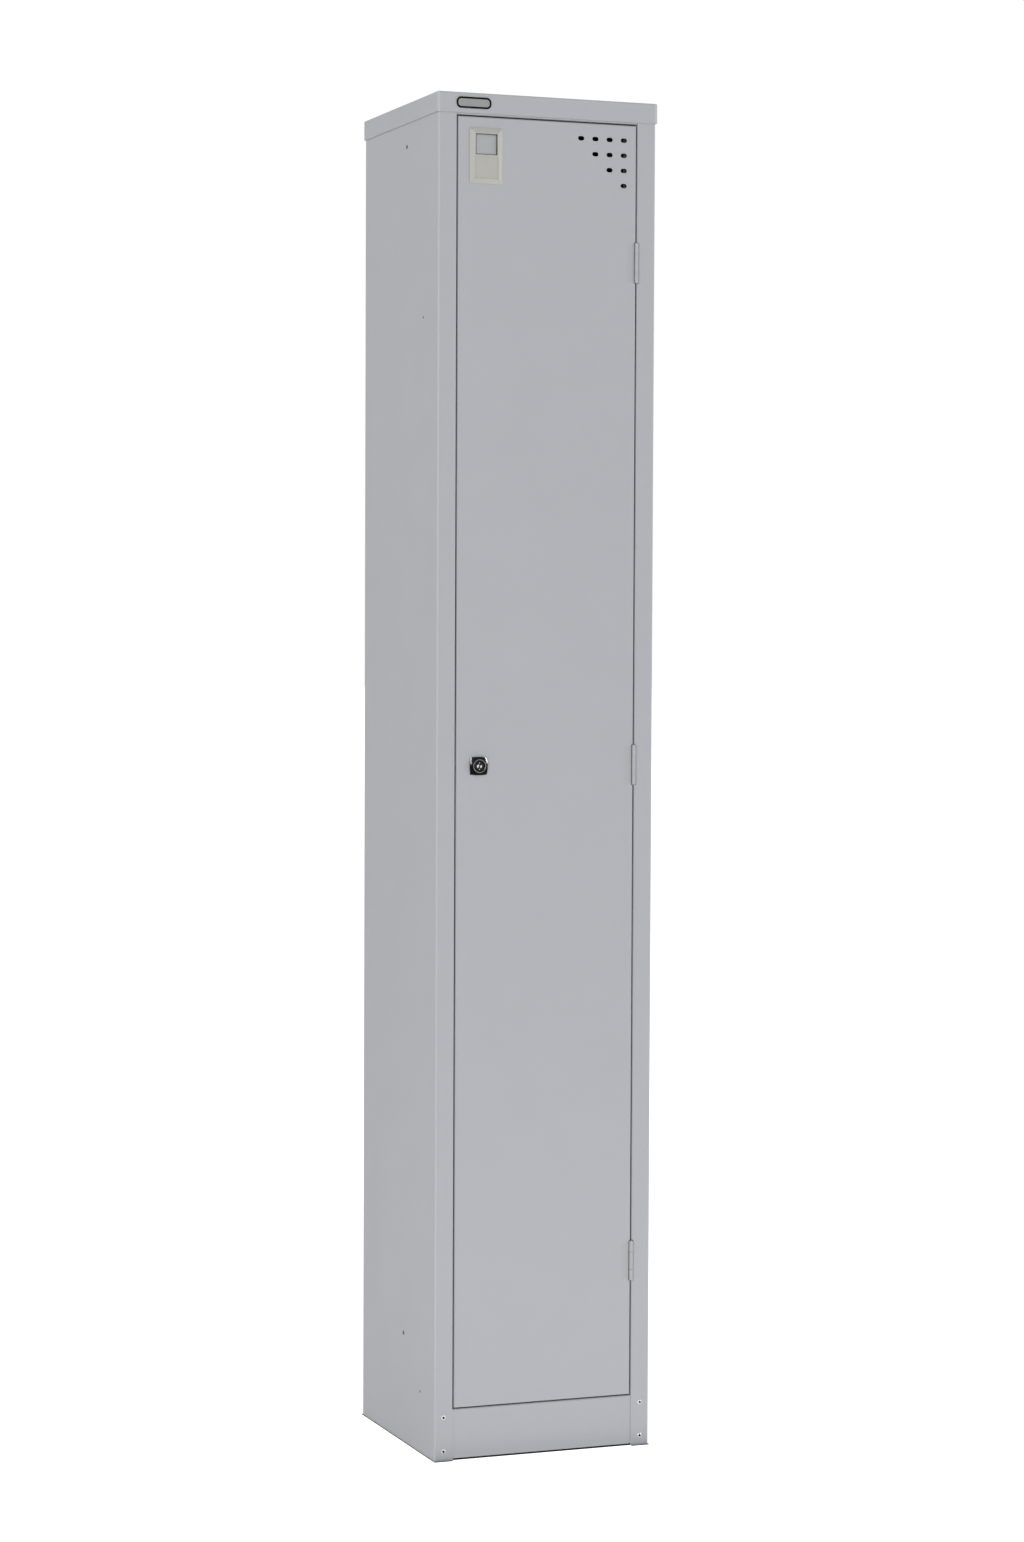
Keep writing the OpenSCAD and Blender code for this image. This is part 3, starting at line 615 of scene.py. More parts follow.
    def soften(self, width: float, segments: int = 3, sharp: float = 30) -> Self:
        """Rounds every edge that is sharper than an angle in degrees."""
        return self.modify("BEVEL", width=width, segments=segments, limit_method="ANGLE",
                           angle_limit=math.radians(sharp), use_clamp_overlap=True, miter_outer="MITER_ARC")

    def cut(self, tool: Self, operation: str = "DIFFERENCE") -> Self:
        """Cuts this piece with another, which is used up."""
        self.modify("BOOLEAN", object=tool.item, operation=operation, solver="EXACT")
        bpy.data.objects.remove(tool.item)
        return self

    def join(self, *others: Self) -> Self:
        """Joins other pieces into this one."""
        self.alone()
        for other in others:
            other.item.select_set(True)
        bpy.ops.object.join()
        return self

    def copies(self, facing: Facing, places: Sequence[Sequence[float]]) -> Self:
        """Sets a copy, with its own mesh, at each place and joins them all.

        Args:
            facing: Which way each copy looks.
            places: Where each copy's origin goes.

        Returns:
            The workpiece, which now holds all the copies.
        """
        twins = []
        for at in places[1:]:
            twin = bpy.data.objects.new(self.item.name, self.item.data.copy())
            bpy.context.scene.collection.objects.link(twin)
            twins.append(Workpiece(twin, self.item.name + "_copy").place(facing, at))
        return self.place(facing, places[0]).join(*twins)

    def finish(self, body: Body, slot: Slot, material: bpy.types.Material, *nodes: str,
               sharp: float = 35) -> None:
        """Dresses the piece and gives it to its body.

        Args:
            body: The body that it rides on.
            slot: The record's slot for its finish.
            material: Its material.
            nodes: The CAD nodes that it stands for.
            sharp: The angle in degrees past which an edge stays crisp.
        """
        self.pick_all()
        bpy.ops.mesh.remove_doubles(threshold=MERGE)
        self.leave().alone()
        bpy.ops.object.shade_smooth_by_angle(angle=math.radians(sharp))
        self.modify("WEIGHTED_NORMAL", keep_sharp=True)
        self.item.data.materials.clear()
        self.item.data.materials.append(material)
        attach(self.item, body.value)
        if nodes:
            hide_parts(*nodes)
        log.info("%s rides on %s as %s", self.item.name, body.value, slot.value)


def solid_boxes(node: str) -> list[tuple[Vector, Vector]]:
    """Measures the separate solids in a CAD node.

    Args:
        node: The CAD node's name.

    Returns:
        The lowest and highest corner of each solid.
    """
    Workpiece.cast_from(node, node + "_measure").alone()
    bpy.ops.mesh.separate(type="LOOSE")
    boxes = []
    for part in list(bpy.context.selected_objects):
        corners = [vertex.co.copy() for vertex in part.data.vertices]
        boxes.append(tuple(Vector(limit(corner[axis] for corner in corners) for axis in range(3))
                           for limit in (min, max)))
        bpy.data.objects.remove(part)
    return boxes


@dataclass
class Assembly:
    """A group of pieces that are dressed from one palette."""

    palette: Palette

    def keep_shape(self, node: str, slot: Slot) -> None:
        """Gives a CAD node that keeps its own shape the material of a slot."""
        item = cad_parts[node]
        item.data.materials.clear()
        item.data.materials.append(self.palette[slot])
        log.info("%s keeps its shape, in %s", node, slot.value)

    def dress(self, piece: Workpiece, body: Body, slot: Slot, *nodes: str, sharp: float = 35) -> None:
        """Finishes a piece in its slot's own material."""
        piece.finish(body, slot, self.palette[slot], *nodes, sharp=sharp)

    def round_off(self, node: str, name: str, body: Body, slot: Slot, *rounding: float,
                  sharp: float = 35) -> None:
        """Puts a finished piece with rounded edges in the place of a CAD node.

        Args:
            node: The CAD node's name.
            name: The piece's name.
            body: The body that it rides on.
            slot: The record's slot for its finish.
            rounding: The width and, if need be, the segments and angle to round its edges with.
            sharp: The angle in degrees past which an edge stays crisp.
        """
        self.dress(Workpiece.cast_from(node, name).soften(*rounding), body, slot, node, sharp=sharp)


@dataclass
class Sheetwork(Assembly):
    """The folded and welded sheets, which keep their CAD shape under paint."""

    carcass: tuple[str, ...] = ("left_side_panel", "right_side_panel", "back_panel", "top_cap", "header_rail",
                                "kick_plate", "floor_pan", "hat_shelf")
    door: tuple[str, ...] = ("door_panel", "door_stiffener")
    weld_r: float = 2.6 * MM
    weld_h: float = 0.08 * MM
    weld_sunk: float = 0.02 * MM
    weld_rings: Rings = ((0.8, 0.16 * MM), (0.6, 0.08 * MM), (0.3, 0.02 * MM))  # share of weld_r, height
    weld_pitch: float = 120 * MM
    weld_inset: float = 6 * MM
    weld_sides: int = 20

    def build(self) -> None:
        """Paints the sheets and marks the stiffener's spot welds."""
        for nodes, slot in ((self.carcass, Slot.BODY_PAINT), (self.door, Slot.DOOR_PAINT)):
            for node in nodes:
                self.keep_shape(node, slot)
        self.spot_welds()

    def spot_welds(self) -> None:
        """Presses a row of shallow spot welds into each flange of the stiffener."""
        low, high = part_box("door_stiffener")
        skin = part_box("door_panel")[0].y
        weld = Workpiece.cylinder("stiffener_spot_welds", self.weld_r, self.weld_h + self.weld_sunk,
                                  -self.weld_sunk, self.weld_sides)
        rings = [(self.weld_r * share, height) for share, height in self.weld_rings]
        weld.pick_top().rings(rings, self.weld_r, self.weld_h)
        count = int((high.z - low.z - 2 * self.weld_inset) / self.weld_pitch)
        pitch = (high.z - low.z - 4 * self.weld_inset) / count
        places = [(x, skin + 2 * SHEET_T, low.z + 2 * self.weld_inset + i * pitch)
                  for x in (low.x + self.weld_inset, high.x - self.weld_inset) for i in range(count + 1)]
        self.dress(weld.copies(Facing.BACK, places), Body.DOOR, Slot.DOOR_PAINT)


@dataclass
class BlindRivets(Assembly):
    """Pop rivets: a domed head with an eye, a shank, a blind end, and the snapped stem in the eye, coloured
    near black as painted shade inside the eye.
    """

    head_h: float = 1.1 * MM
    head_r: float = 3.2 * MM
    dome_shares: tuple[float, ...] = (0.94, 0.84, 0.75, 0.67, 0.60)  # of the radius, to where the eye opens
    rim: float = 0.12 * MM
    shank_r: float = 1.6 * MM
    eye_r: float = 1.7 * MM
    eye_edge: float = 0.1 * MM
    eye_taper: float = 0.05 * MM
    eye_depth: float = 0.6 * MM
    blind_r: float = 2.25 * MM
    blind_lengths: tuple[float, float, float] = (0.5, 0.9, 0.5)  # its flare, belly and tip over its radius
    blind_tip: float = 0.55  # the tip's width over the belly's
    stem_play: float = 0.1 * MM
    stem_drop: float = 0.25 * MM  # from the eye's edge down to the stem
    stem_share: float = 0.7  # the stem's length over the eye's depth
    torn: Rings = ((0.85, 0.06 * MM), (0.6, -0.12 * MM), (0.25, -0.05 * MM))  # share of its radius, height
    sides: int = 24
    stem_sides: int = 16
    crease: float = 40  # degrees

    @property
    def lip(self) -> float:
        """The height of the dome where the eye opens."""
        return self.dome(self.dome_shares[-1])[1]

    def dome(self, share: float) -> tuple[float, float]:
        """Returns the radius and height of the dome at a share of the head's radius."""
        dome_r = (self.head_r**2 + self.head_h**2) / (2 * self.head_h)
        r = self.head_r * share
        return r, math.sqrt(dome_r**2 - r**2) - dome_r + self.head_h

    def stem(self, name: str) -> Workpiece:
        """Returns the snapped stem that is left in a rivet's eye, with a torn end."""
        top = self.lip - self.stem_drop
        radius = self.eye_r - self.stem_play
        length = self.eye_depth * self.stem_share
        stem = Workpiece.cylinder(name, radius, length, top - length, self.stem_sides)
        return stem.pick_top().rings([(radius * share, top + rise) for share, rise in self.torn], radius, top)

    def model(self, name: str, length: float) -> Workpiece:
        """Shapes one rivet with its head up.

        Args:
            name: The piece's name.
            length: The whole length from the top of the head to the blind end.

        Returns:
            The rivet.
        """
        rivet = Workpiece.cylinder(name, self.head_r, self.rim, 0, self.sides)
        dome = [self.dome(share) for share in self.dome_shares]
        eye = [(self.eye_r, self.lip - self.eye_edge),
               (self.eye_r - self.eye_taper, self.lip - self.eye_depth)]
        rivet.pick_top().rings(dome + eye, self.head_r, self.rim).pick_bottom()
        bpy.ops.mesh.inset(thickness=self.head_r - self.shank_r, depth=0)
        grip = length - self.head_h - 2 * self.blind_r
        flare, belly, tip = (self.blind_r * share for share in self.blind_lengths)
        widening = self.blind_r / self.shank_r
        return rivet.stretch([(grip, 1), (flare, widening), (belly, 1), (tip, self.blind_tip)])

    def set_row(self, node: str, slot: Slot, facing_of: Callable[[Vector], Facing]) -> None:
        """Replaces the rivets of a CAD node.

        Args:
            node: The CAD node that holds them.
            slot: Their finish.
            facing_of: Says which way a rivet's head looks from the lowest corner of its box.
        """
        groups: dict[Facing, list[Vector]] = {}
        length = 0.0
        for low, high in solid_boxes(node):
            facing = facing_of(low)
            reach = sum(abs(part) * size for part, size in zip(facing.way, (high - low) / 2))
            length = 2 * reach
            groups.setdefault(facing, []).append((low + high) / 2 + facing.way * (reach - self.head_h))
        rivets = (lambda name: self.model(name, length), "_set", self.palette[slot], [node])
        # the stems are near black, painting the shade inside each eye
        stems = (self.stem, "_stems", self.palette.snapped_steel, [])
        for shape, suffix, material, replaced in (rivets, stems):
            rows = [shape(node + suffix).copies(facing, places) for facing, places in groups.items()]
            rows[0].join(*rows[1:]).finish(Body.CARCASS, slot, material, *replaced, sharp=self.crease)

    def build(self) -> None:
        """Sets all the rivets."""
        self.set_row("kick_plate_rivets", Slot.ZINC, lambda low: Facing.FRONT)
        self.set_row("side_rivets", Slot.BODY_PAINT, lambda low: Facing.LEFT if low.x < 0 else Facing.RIGHT)
        self.set_row("back_rivets", Slot.BODY_PAINT, lambda low: Facing.BACK)
        self.set_row("bracket_rivets", Slot.ZINC, lambda low: Facing.UP)
        self.set_row("hook_rivets", Slot.ZINC, lambda low: Facing.FRONT)


@dataclass
class Hinges(Assembly):
    """Three painted hinges in the gap on the right, each with two leaves and a pin."""

    edge: float = 0.35 * MM

    def build(self) -> None:
        """Rounds the knuckles and pins of every hinge."""
        for level in ("upper", "middle", "lower"):
            for part, body, slot in (("frame_leaf", Body.CARCASS, Slot.BODY_PAINT),
                                     ("door_leaf", Body.DOOR, Slot.DOOR_PAINT),
                                     ("pin", Body.CARCASS, Slot.ZINC)):
                name = f"{level}_hinge_rounded_{part}"
                self.round_off(f"{level}_hinge_{part}", name, body, slot, self.edge)


@dataclass
class CamLock(Assembly):
    """The cam lock: black lacquered front, rim, keyed plug, threaded barrel, nut and cam."""

    front_w: float = 25 * MM
    front_h: float = 24.5 * MM
    proud: float = 5 * MM
    dome_r: float = 32 * MM
    bulge: float = 0.16
    edge: float = 0.8 * MM  # on the front
    barrel_edge: float = 0.3 * MM
    soft_edge: float = 0.2 * MM  # on the rim and tail
    fine_edge: float = 0.1 * MM  # on the guard and marks
    recess: float = 0.6  # the height of the recess inside the rim, over the front's
    rim_r: float = 9 * MM
    rim_w: float = 0.9 * MM
    rim_h: float = 0.5 * MM  # over the front
    barrel_r: float = 9.25 * MM
    thread_depth: float = 0.5 * MM
    pitch: float = 1 * MM
    ridge_foot: float = 0.9  # over the pitch
    ridge_crest: float = 0.15  # over the foot
    thread_start: float = 1.5  # from the barrel's end, over the pitch
    plain_part: float = 3 * MM  # how much of the barrel has no thread
    plug_r: float = 6.4 * MM
    plug_drop: float = 0.55 * MM  # from the front's top to the plug's face
    plug_rings: Rings = ((0.3, 0.15), (0.9, 0.15), (1.0, -0.1), (1.3, -0.1), (1.4, 0.05))  # mm in and up
    play: float = 0.05 * MM
    tail_w: float = 7 * MM
    slot_w: float = 1.8 * MM
    slot_h: float = 8 * MM
    ward: float = 0.9 * MM
    guard_reach: Span = (3.7 * MM, 2.6 * MM)  # half its width and height
    guard_t: float = 0.45 * MM
    guard_off: float = 0.3 * MM  # to the left and down
    guard_lift: float = 0.02 * MM  # over the plug's face
    mark_r: float = 0.65 * MM
    mark_t: float = 0.4 * MM
    mark_sunk: float = 0.1 * MM
    mark_at: float = 0.68  # over the plug's radius
    mark_sides: int = 24
    wafer_w: float = 0.7  # over the slot's width
    wafer_h: float = 5 * MM
    wafer_t: float = 0.45 * MM
    wafer_edge: float = 0.05 * MM
    wafer_drop: float = 1.6 * MM
    wafer_pitch: float = 0.7 * MM
    wafer_lift: float = 0.5 * MM
    wafers: int = 4
    sides: int = 72

    def __post_init__(self) -> None:
        """Finds the lock's place and depth from the frame."""
        low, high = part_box("lock_body")
        self.at = Vector(((low.x + high.x) / 2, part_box("door_panel")[0].y, (low.z + high.z) / 2))
        self.depth = high.y - self.at.y
        self.face = self.proud - self.plug_drop

    def key_cutter(self) -> Workpiece:
        """Returns the S-shaped slot that the key goes into, as a solid to cut the plug's face with."""
        cutter = Workpiece.block("key_cutter", (self.slot_w, self.slot_h, self.slot_h), (0, 0, self.face))
        size = (self.ward + self.slot_w, self.slot_h / 3, self.slot_h)
        for side in (-1, 1):
            at = (side * self.ward / 2, side * self.slot_h / 4, self.face)
            cutter.cut(Workpiece.block("ward", size, at), "UNION")
        return cutter

    def bore(self, radius: float, low: float) -> Workpiece:
        """Returns a round tool that cuts from a height out through the front."""
        return Workpiece.cylinder("bore", radius, 3 * self.proud, low, self.sides)

    def front(self) -> None:
        """The lacquered front: a block with bulging sides under a shallow dome."""
        size = (self.front_w, self.front_h, 2 * self.proud)
        front = Workpiece.block("lock_front", size, (0, 0, self.proud))
        front.pick_all()
        bpy.ops.mesh.subdivide(number_cuts=9)
        front.leave().modify("CAST", cast_type="CYLINDER", factor=self.bulge, use_z=False)
        wide, high, _ = front.item.dimensions
        front.item.scale = (self.front_w / wide, self.front_h / high, 1)
        dome = Workpiece.start("dome", bpy.ops.mesh.primitive_uv_sphere_add, segments=160, ring_count=96,
                               radius=self.dome_r)
        front.settle().cut(dome.shift((0, 0, self.proud - self.dome_r)), "INTERSECT")
        front.soften(self.edge, 4)
        front.cut(self.bore(self.rim_r - self.rim_w / 2, self.proud * self.recess))
        front.cut(self.bore(self.plug_r + self.play, -self.proud)).place(Facing.FRONT, self.at)
        self.dress(front, Body.DOOR, Slot.LOCK_BLACK, "lock_body", sharp=50)

    def rim(self) -> None:
        """The raised rim round the plug."""
        rim = Workpiece.cylinder("lock_rim", self.rim_r, self.proud + self.rim_h, 0, self.sides)
        rim.cut(self.bore(self.rim_r - self.rim_w, -self.proud))
        rim.soften(self.soft_edge, 3, 40).place(Facing.FRONT, self.at)
        rim.finish(Body.DOOR, Slot.LOCK_METAL, self.palette.dark_nickel)

    def barrel(self) -> None:
        """The threaded barrel behind the door."""
        root_r = self.barrel_r - self.thread_depth
        length = self.depth + self.proud / 2
        barrel = Workpiece.cylinder("lock_barrel", root_r, length, -self.depth, self.sides)
        barrel.cut(self.bore(self.plug_r + self.play, -self.depth / 2)).soften(self.barrel_edge, 2)
        ridge = self.ridge(root_r, self.thread_start * self.pitch - self.depth)
        for piece in (barrel, ridge):
            self.dress(piece.place(Facing.FRONT, self.at), Body.DOOR, Slot.ZINC)

    def ridge(self, radius: float, low: float) -> Workpiece:
        """Sweeps the thread's ridge up round the barrel.

        Args:
            radius: The barrel's radius at the foot of the ridge.
            low: The height at which the ridge starts.

        Returns:
            The ridge with its ends closed.
        """
        ridge = Workpiece.start("lock_thread", bpy.ops.mesh.primitive_plane_add, size=1)
        ridge.item.scale = (2 * self.thread_depth, self.pitch * self.ridge_foot, 1)
        ridge.settle()
        for vertex in ridge.item.data.vertices:
            if vertex.co.x > 0:
                vertex.co.y *= self.ridge_crest
        ridge.place(Facing.FRONT, (radius, 0, low)).pick_all()
        bpy.ops.mesh.delete(type="ONLY_FACE")
        turns = int((self.depth - self.plain_part) / self.pitch)
        ridge.leave().modify("SCREW", angle=math.radians(360), screw_offset=self.pitch, iterations=turns,
                             steps=self.sides, render_steps=self.sides, axis="Z")
        ridge.pick_all()
        bpy.ops.mesh.fill_holes(sides=4)
        bpy.ops.mesh.select_all(action="SELECT")
        bpy.ops.mesh.normals_make_consistent(inside=False)
        return ridge.leave()

    def plug(self) -> None:
        """The plug that turns with the key, with a grooved face and a square tail."""
        length = self.face + self.depth
        plug = Workpiece.cylinder("lock_plug_turned", self.plug_r, length, -self.depth, self.sides)
        rings = [(self.plug_r - inset * MM, self.face + rise * MM) for inset, rise in self.plug_rings]
        plug.pick_top().rings(rings, self.plug_r, self.face)
        tail_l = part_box("lock_plug")[1].y - self.at.y - self.depth
        size = (self.tail_w, self.tail_w, tail_l)
        tail = Workpiece.block("plug_square", size, (0, 0, -self.depth - tail_l / 2))
        plug.cut(self.key_cutter()).join(tail.soften(self.soft_edge, 2)).place(Facing.FRONT, self.at)
        plug.finish(Body.LOCK, Slot.LOCK_METAL, self.palette.black_nickel, "lock_plug")

    def guard(self) -> None:
        """The bright guard round the key's slot."""
        guard = Workpiece.cylinder("key_guard", 1, self.guard_t, self.face + self.guard_lift, self.sides)
        guard.item.scale = (*self.guard_reach, 1)
        guard.settle().shift((-self.guard_off, -self.guard_off, 0)).cut(self.key_cutter())
        guard.soften(self.fine_edge, 2).place(Facing.FRONT, self.at)
        self.dress(guard, Body.LOCK, Slot.LOCK_METAL)

    def marks(self) -> None:
        """The two round marks over and under the key's slot."""
        low = self.face - self.mark_sunk
        mark = Workpiece.cylinder("lock_marks", self.mark_r, self.mark_t, low, self.mark_sides)
        places = [self.at + Vector((0, 0, side * self.plug_r * self.mark_at)) for side in (-1, 1)]
        self.dress(mark.soften(self.fine_edge, 2).copies(Facing.FRONT, places), Body.LOCK, Slot.LOCK_METAL)

    def wafer_stack(self) -> None:
        """The brass wafers inside the key's slot, every second one lifted."""
        wafer = Workpiece.block("lock_wafers", (self.slot_w * self.wafer_w, self.wafer_h, self.wafer_t))
        wafer.soften(self.wafer_edge, 1)
        first = self.wafer_drop - self.face
        places = [self.at + Vector((0, first + i * self.wafer_pitch, i % 2 * self.wafer_lift))
                  for i in range(self.wafers)]
        wafer.copies(Facing.FRONT, places).finish(Body.LOCK, Slot.LOCK_METAL, self.palette.brass)

    def fittings(self) -> None:
        """The nut, cam, washer and screw behind the door, with their edges rounded."""
        for node, body, width in (("lock_nut", Body.DOOR, 0.4), ("lock_cam", Body.LOCK, 0.25),
                                  ("cam_washer", Body.LOCK, 0.12), ("cam_screw", Body.LOCK, 0.3)):
            self.round_off(node, node + "_rounded", body, Slot.ZINC, width * MM, 2)
        self.keep_shape("strike_plate", Slot.ZINC)

    def build(self) -> None:
        """Makes the whole lock."""
        for part in (self.front, self.rim, self.barrel, self.plug, self.guard, self.marks, self.wafer_stack,
                     self.fittings):
            part()


@dataclass
class CardHolder(Assembly):
    """The cream plastic holder with its blank card, clear window, and a near-black strip round the window
    that paints the shade in its recess.
    """

    edge: float = 0.3 * MM
    sheet_edge: float = 0.08 * MM
    window_w: float = 30.5 * MM
    window_h: float = 27.5 * MM
    window_top: float = 7.5 * MM
    pocket_depth: float = 1.0 * MM
    shade_strip_w: float = 0.75 * MM
    shade_strip_t: float = 1.7 * MM
    shade_strip_edge: float = 0.15 * MM

    def shade_strip(self) -> None:
        """Sets a near-black strip into the window, against the clear sheet, as painted shade round the
        window's recess.
        """
        low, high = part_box("card_holder")
        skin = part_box("door_panel")[0].y
        shade_strip = Workpiece.block("window_bead", (self.window_w, self.window_h, self.shade_strip_t))
        size = (self.window_w - 2 * self.shade_strip_w, self.window_h - 2 * self.shade_strip_w, 2 * self.shade_strip_t)
        shade_strip.cut(Workpiece.block("bead_opening", size)).soften(self.shade_strip_edge, 2)
        at = ((low.x + high.x) / 2, skin - self.pocket_depth - self.shade_strip_t / 2,
              high.z - self.window_top - self.window_h / 2)
        # near-black plastic here is painted shade round the window's recess
        self.dress(shade_strip.place(Facing.FRONT, at), Body.DOOR, Slot.BLACK_PLASTIC)

    def build(self) -> None:
        """Rounds the moulding and dresses the card and window."""
        self.round_off("card_holder", "card_holder_moulding", Body.DOOR, Slot.CREAM_PLASTIC, self.edge, 3, 15,
                       sharp=25)
        for node, slot in (("card_window", Slot.CLEAR_PLASTIC), ("name_card", Slot.CARD)):
            self.round_off(node, node + "_cut", Body.DOOR, slot, self.sheet_edge, 2)
        self.shade_strip()


@dataclass
class NamePlate(Assembly):
    """The blank plate on the front of the cap: a dark rim round a satin face."""

    corner: float = 6.5 * MM
    rim_w: float = 2.3 * MM
    gap: float = 0.1 * MM  # round the face
    face_t: float = 0.85  # over the rim's thickness
    bed: float = 1 / 3  # how deep the face's bed is, over the rim's thickness
    rim_edge: float = 0.3 * MM
    face_edge: float = 0.15 * MM

    def plate(self, name: str, size: Vector, corner: float) -> Workpiece:
        """Shapes a flat plate with round corners, standing on the XY plane.

        Args:
            name: The piece's name.
            size: Its width, height and thickness.
            corner: The radius of its corners.

        Returns:
            The plate.
        """
        plate = Workpiece.block(name, size, (0, 0, size.z / 2))
        plate.unpick("EDGE")
        points = plate.item.data.vertices
        for edge in plate.item.data.edges:
            start, end = (points[i].co for i in edge.vertices)
            edge.select = abs(start.z - end.z) > size.z / 2
        bpy.ops.object.mode_set(mode="EDIT")
        bpy.ops.mesh.bevel(offset=corner, segments=10, affect="EDGES")
        return plate.leave()

    def build(self) -> None:
        """Makes the rim and the face."""
        low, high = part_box("name_plate")
        at = Vector(((low.x + high.x) / 2, high.y, (low.z + high.z) / 2))
        size = Vector((high.x - low.x, high.z - low.z, high.y - low.y))
        rim = self.plate("name_plate_rim", size, self.corner)
        rim.pick_top()
        bpy.ops.mesh.inset(thickness=self.rim_w, depth=0)
        bpy.ops.mesh.inset(thickness=HAIR, depth=-size.z * self.bed)
        rim.leave().soften(self.rim_edge).place(Facing.FRONT, at)
        self.dress(rim, Body.CARCASS, Slot.LOCK_BLACK, "name_plate")
        margin = 2 * (self.rim_w + self.gap)
        inside = Vector((size.x - margin, size.y - margin, size.z * self.face_t))
        face = self.plate("name_plate_face", inside, self.corner - self.rim_w).soften(self.face_edge, 2)
        self.dress(face.place(Facing.FRONT, at), Body.CARCASS, Slot.PLATE)


@dataclass
class Interior(Assembly):
    """The rail, its caps and brackets, the coat hooks and the door buffers."""

    def build(self) -> None:
        """Rounds the fittings' edges, by a width in mm past an angle in degrees, and dresses them."""
        for node, slot, width, angle in (("coat_rail", Slot.ZINC, 0.2, 30),
                                         ("coat_rail_caps", Slot.BLACK_PLASTIC, 0.5, 30),
                                         ("coat_rail_brackets", Slot.ZINC, 0.4, 40),
                                         ("coat_hooks", Slot.ZINC, 0.4, 45),
                                         ("door_buffers", Slot.RUBBER, 0.6, 30)):
            self.round_off(node, node + "_rounded", Body.CARCASS, slot, width * MM, 3, angle)


@dataclass(frozen=True)
class Lamp:
    """A soft rectangular lamp that looks at the middle of the locker, or lies level and shines up."""

    name: str
    azimuth: float  # degrees to the right of the front
    elevation: float
    distance: float
    width: float
    height: float
    share: float  # how bright it alone makes a white sheet that faces it
    level: bool = False
    only: str = ""  # the one piece that it lights, if not all

    def hang(self, target: Vector) -> None:
        """Hangs the lamp.

        Args:
            target: The point that its angles and distance are taken from.
        """
        turn, lift = math.radians(self.azimuth), math.radians(self.elevation)
        out = Vector((math.sin(turn) * math.cos(lift), -math.cos(turn) * math.cos(lift), math.sin(lift)))
        bpy.ops.object.light_add(type="AREA", location=target + out * self.distance)
        lamp = bpy.context.object
        lamp.name = self.name
        lamp.rotation_euler = Facing.DOWN.turn if self.level else out.to_track_quat("Z", "Y").to_euler()
        lamp.visible_camera = False
        lamp.data.shape = "RECTANGLE"
        lamp.data.size, lamp.data.size_y = self.width, self.height
        lamp.data.energy = math.pi**2 * self.share * self.distance**2
        if self.only:
            lit = bpy.data.collections.new(self.name + "_lit")
            lit.objects.link(bpy.data.objects[self.only])
            lamp.light_linking.receiver_collection = lit


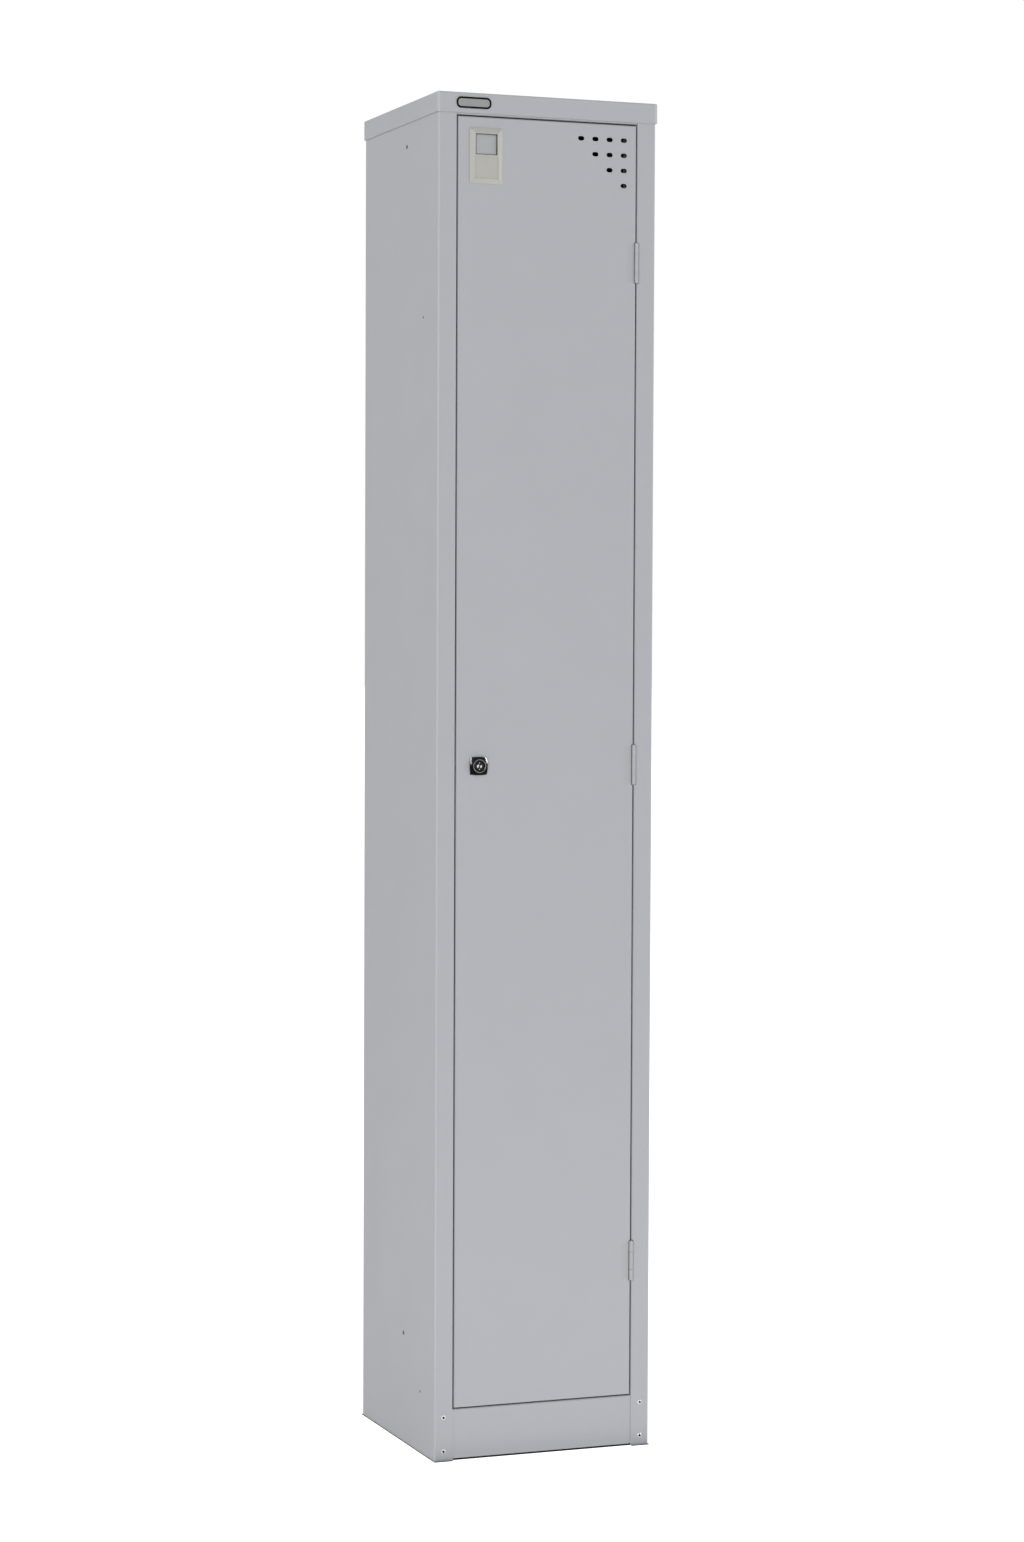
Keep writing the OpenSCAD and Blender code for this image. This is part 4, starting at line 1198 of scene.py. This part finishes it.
@dataclass
class Studio:
    """The pale floor, the white surroundings, the lamps and the camera."""

    sky: float = 0.44
    floor_r: float = 60.0
    floor_glow: Span = (0.5, 0.95)  # on the locker, and where the camera sees it
    floor_colour: Colour = (0.90, 0.90, 0.90)
    floor_rough: float = 0.9
    painted_shadow_reach: Span = (1.2 * MM, 4.5 * MM)  # how wide the painted shadow line round the foot is at the sides and in front
    painted_shadow_fade: Span = (0.8, 1.2)  # where the painted shadow line fades, over its width
    painted_shadow_depth: float = 0.9  # how much darker than the floor the painted shadow line is
    kick_back: float = 6 * MM  # how far the painted shadow line steps back under the lifted kick plate
    door_gap: float = 1.8 * MM
    lamps: tuple[Lamp, ...] = (
        Lamp("key_strip", -46, 14, 4.4, 0.3, 1.6, 0.19),
        Lamp("left_strip", -20, 14, 4.4, 0.12, 1.2, 0.05),
        Lamp("right_strip", 60, 14, 3.8, 0.16, 1.2, 0.15),
        Lamp("top_front", 6, 38, 3.5, 2.0, 1.2, 0.03),
        Lamp("front_bounce", 12, -51.6, 1.154, 1.6, 0.8, 0.14, level=True),
        Lamp("left_bounce", -101.3, -41.6, 1.363, 1.2, 1.6, 0.03, level=True),
        Lamp("foot_bounce", 10.7, -76.6, 0.9296, 0.44, 0.08, 0.0038, level=True),
        Lamp("back_fill", 140, 8, 4.6, 2.4, 2.0, 0.12),
        Lamp("lock_gleam_left", -25, 24, 4.4, 0.38, 2.8, 3.4, only="lock_front"),
        Lamp("lock_gleam_right", 63, 24, 4.4, 0.38, 2.8, 3.4, only="lock_front"),
    )
    camera_at: tuple[float, float, float] = (-1.7264, -4.5665, 1.1219)
    yaw: float = 20.816  # degrees to the right of straight back
    pitch: float = -2.348
    roll: float = 0.236
    focal_px: float = 3516.9
    image_h_px: float = 1542
    sensor: float = 36.0

    def surroundings(self) -> None:
        """White all round: 1 where it is seen, and a plain level where it only lights."""
        world = bpy.data.worlds.new("white_studio")
        bpy.context.scene.world = world
        world.use_nodes = True
        nodes = Nodes(world.node_tree)
        background = nodes.tree.nodes["Background"]
        background.inputs["Color"].default_value = (1, 1, 1, 1)
        seen = nodes.rays("Camera", "Glossy", "Transmission")
        nodes.tree.links.new(nodes.remap(seen, (0, 1), (self.sky, 1)), background.inputs["Strength"])

    def painted_shadow_mask(self, wiring: Wiring) -> Socket:
        """Finds the painted shadow on the floor, under the locker and in a line round its foot.

        Args:
            wiring: The floor's nodes.

        Returns:
            1 on the open floor, and 0 under the locker and on the painted shadow line round it.
        """
        low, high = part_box("left_side_panel")[0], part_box("right_side_panel")[1]
        middle, half = (low + high) / 2, (high - low) / 2
        compute, places = wiring.compute, wiring.axes()
        off = [compute("ABSOLUTE", compute("SUBTRACT", places[axis], middle[axis])) for axis in (0, 1)]
        stile_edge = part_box("door_panel")[1].x + self.door_gap
        under_kick = compute("MULTIPLY", compute("LESS_THAN", off[0], stile_edge), self.kick_back)
        reach = (half.x, compute("SUBTRACT", half.y, under_kick))
        past = [compute("DIVIDE", compute("MAXIMUM", compute("SUBTRACT", off[axis], reach[axis])),
                        self.painted_shadow_reach[axis]) for axis in (0, 1)]
        return wiring.remap(wiring.diagonal(*past), self.painted_shadow_fade, (0, 1), "SMOOTHSTEP")

    def floor(self) -> None:
        """A pale floor that keeps the locker's shadow, with painted shadow under the locker and in a line
        round its foot.
        """
        bpy.ops.mesh.primitive_circle_add(vertices=96, radius=self.floor_r, fill_type="NGON")
        floor = bpy.context.object
        floor.name = "studio_floor"
        wiring = Wiring("studio_floor", Roughness=self.floor_rough, Specular_IOR_Level=0.0)
        outside_painted_shadow = self.painted_shadow_mask(wiring)
        # painted shadow: under the locker and along the line round its foot, the floor's colour darkens and
        # its glow goes out
        wiring.mottle(self.floor_colour, self.painted_shadow_depth, outside_painted_shadow)
        level = wiring.remap(wiring.rays("Camera"), (0, 1), self.floor_glow)
        glow = wiring.put("Emission", {"Strength": wiring.compute("MULTIPLY", outside_painted_shadow, level)})
        both = wiring.put("AddShader", {0: wiring.shader.outputs[0], 1: glow.outputs[0]})
        wiring.tree.links.new(both.outputs[0], wiring.tree.nodes["Material Output"].inputs["Surface"])
        floor.data.materials.append(wiring.material)

    def camera(self) -> None:
        """The camera at the photograph's place and angle."""
        bpy.ops.object.camera_add(location=self.camera_at)
        camera = bpy.context.object
        turn = (Matrix.Rotation(math.radians(-self.yaw), 4, "Z")
                @ Matrix.Rotation(math.radians(90 + self.pitch), 4, "X")
                @ Matrix.Rotation(math.radians(self.roll), 4, "Z"))
        camera.rotation_euler = turn.to_euler()
        camera.data.sensor_width = self.sensor
        camera.data.lens = self.focal_px / self.image_h_px * self.sensor
        camera.data.clip_end = 4 * self.floor_r
        bpy.context.scene.camera = camera

    def build(self) -> None:
        """Sets the studio up round the locker."""
        bpy.context.scene.view_settings.view_transform = "Standard"
        self.surroundings()
        self.floor()
        self.camera()
        low, high = CAD_BOX
        for lamp in self.lamps:
            lamp.hang((low + high) / 2)


def main() -> None:
    """Builds every sub-assembly in order."""
    logging.basicConfig(level=logging.INFO, format="%(name)s: %(message)s")
    bpy.ops.object.select_all(action="DESELECT")
    palette = Palette()
    for assembly in (Sheetwork(palette), BlindRivets(palette), Hinges(palette), CamLock(palette),
                     CardHolder(palette), NamePlate(palette), Interior(palette), Studio()):
        log.info("building %s", type(assembly).__name__)
        assembly.build()


if __name__ == "__main__":
    main()
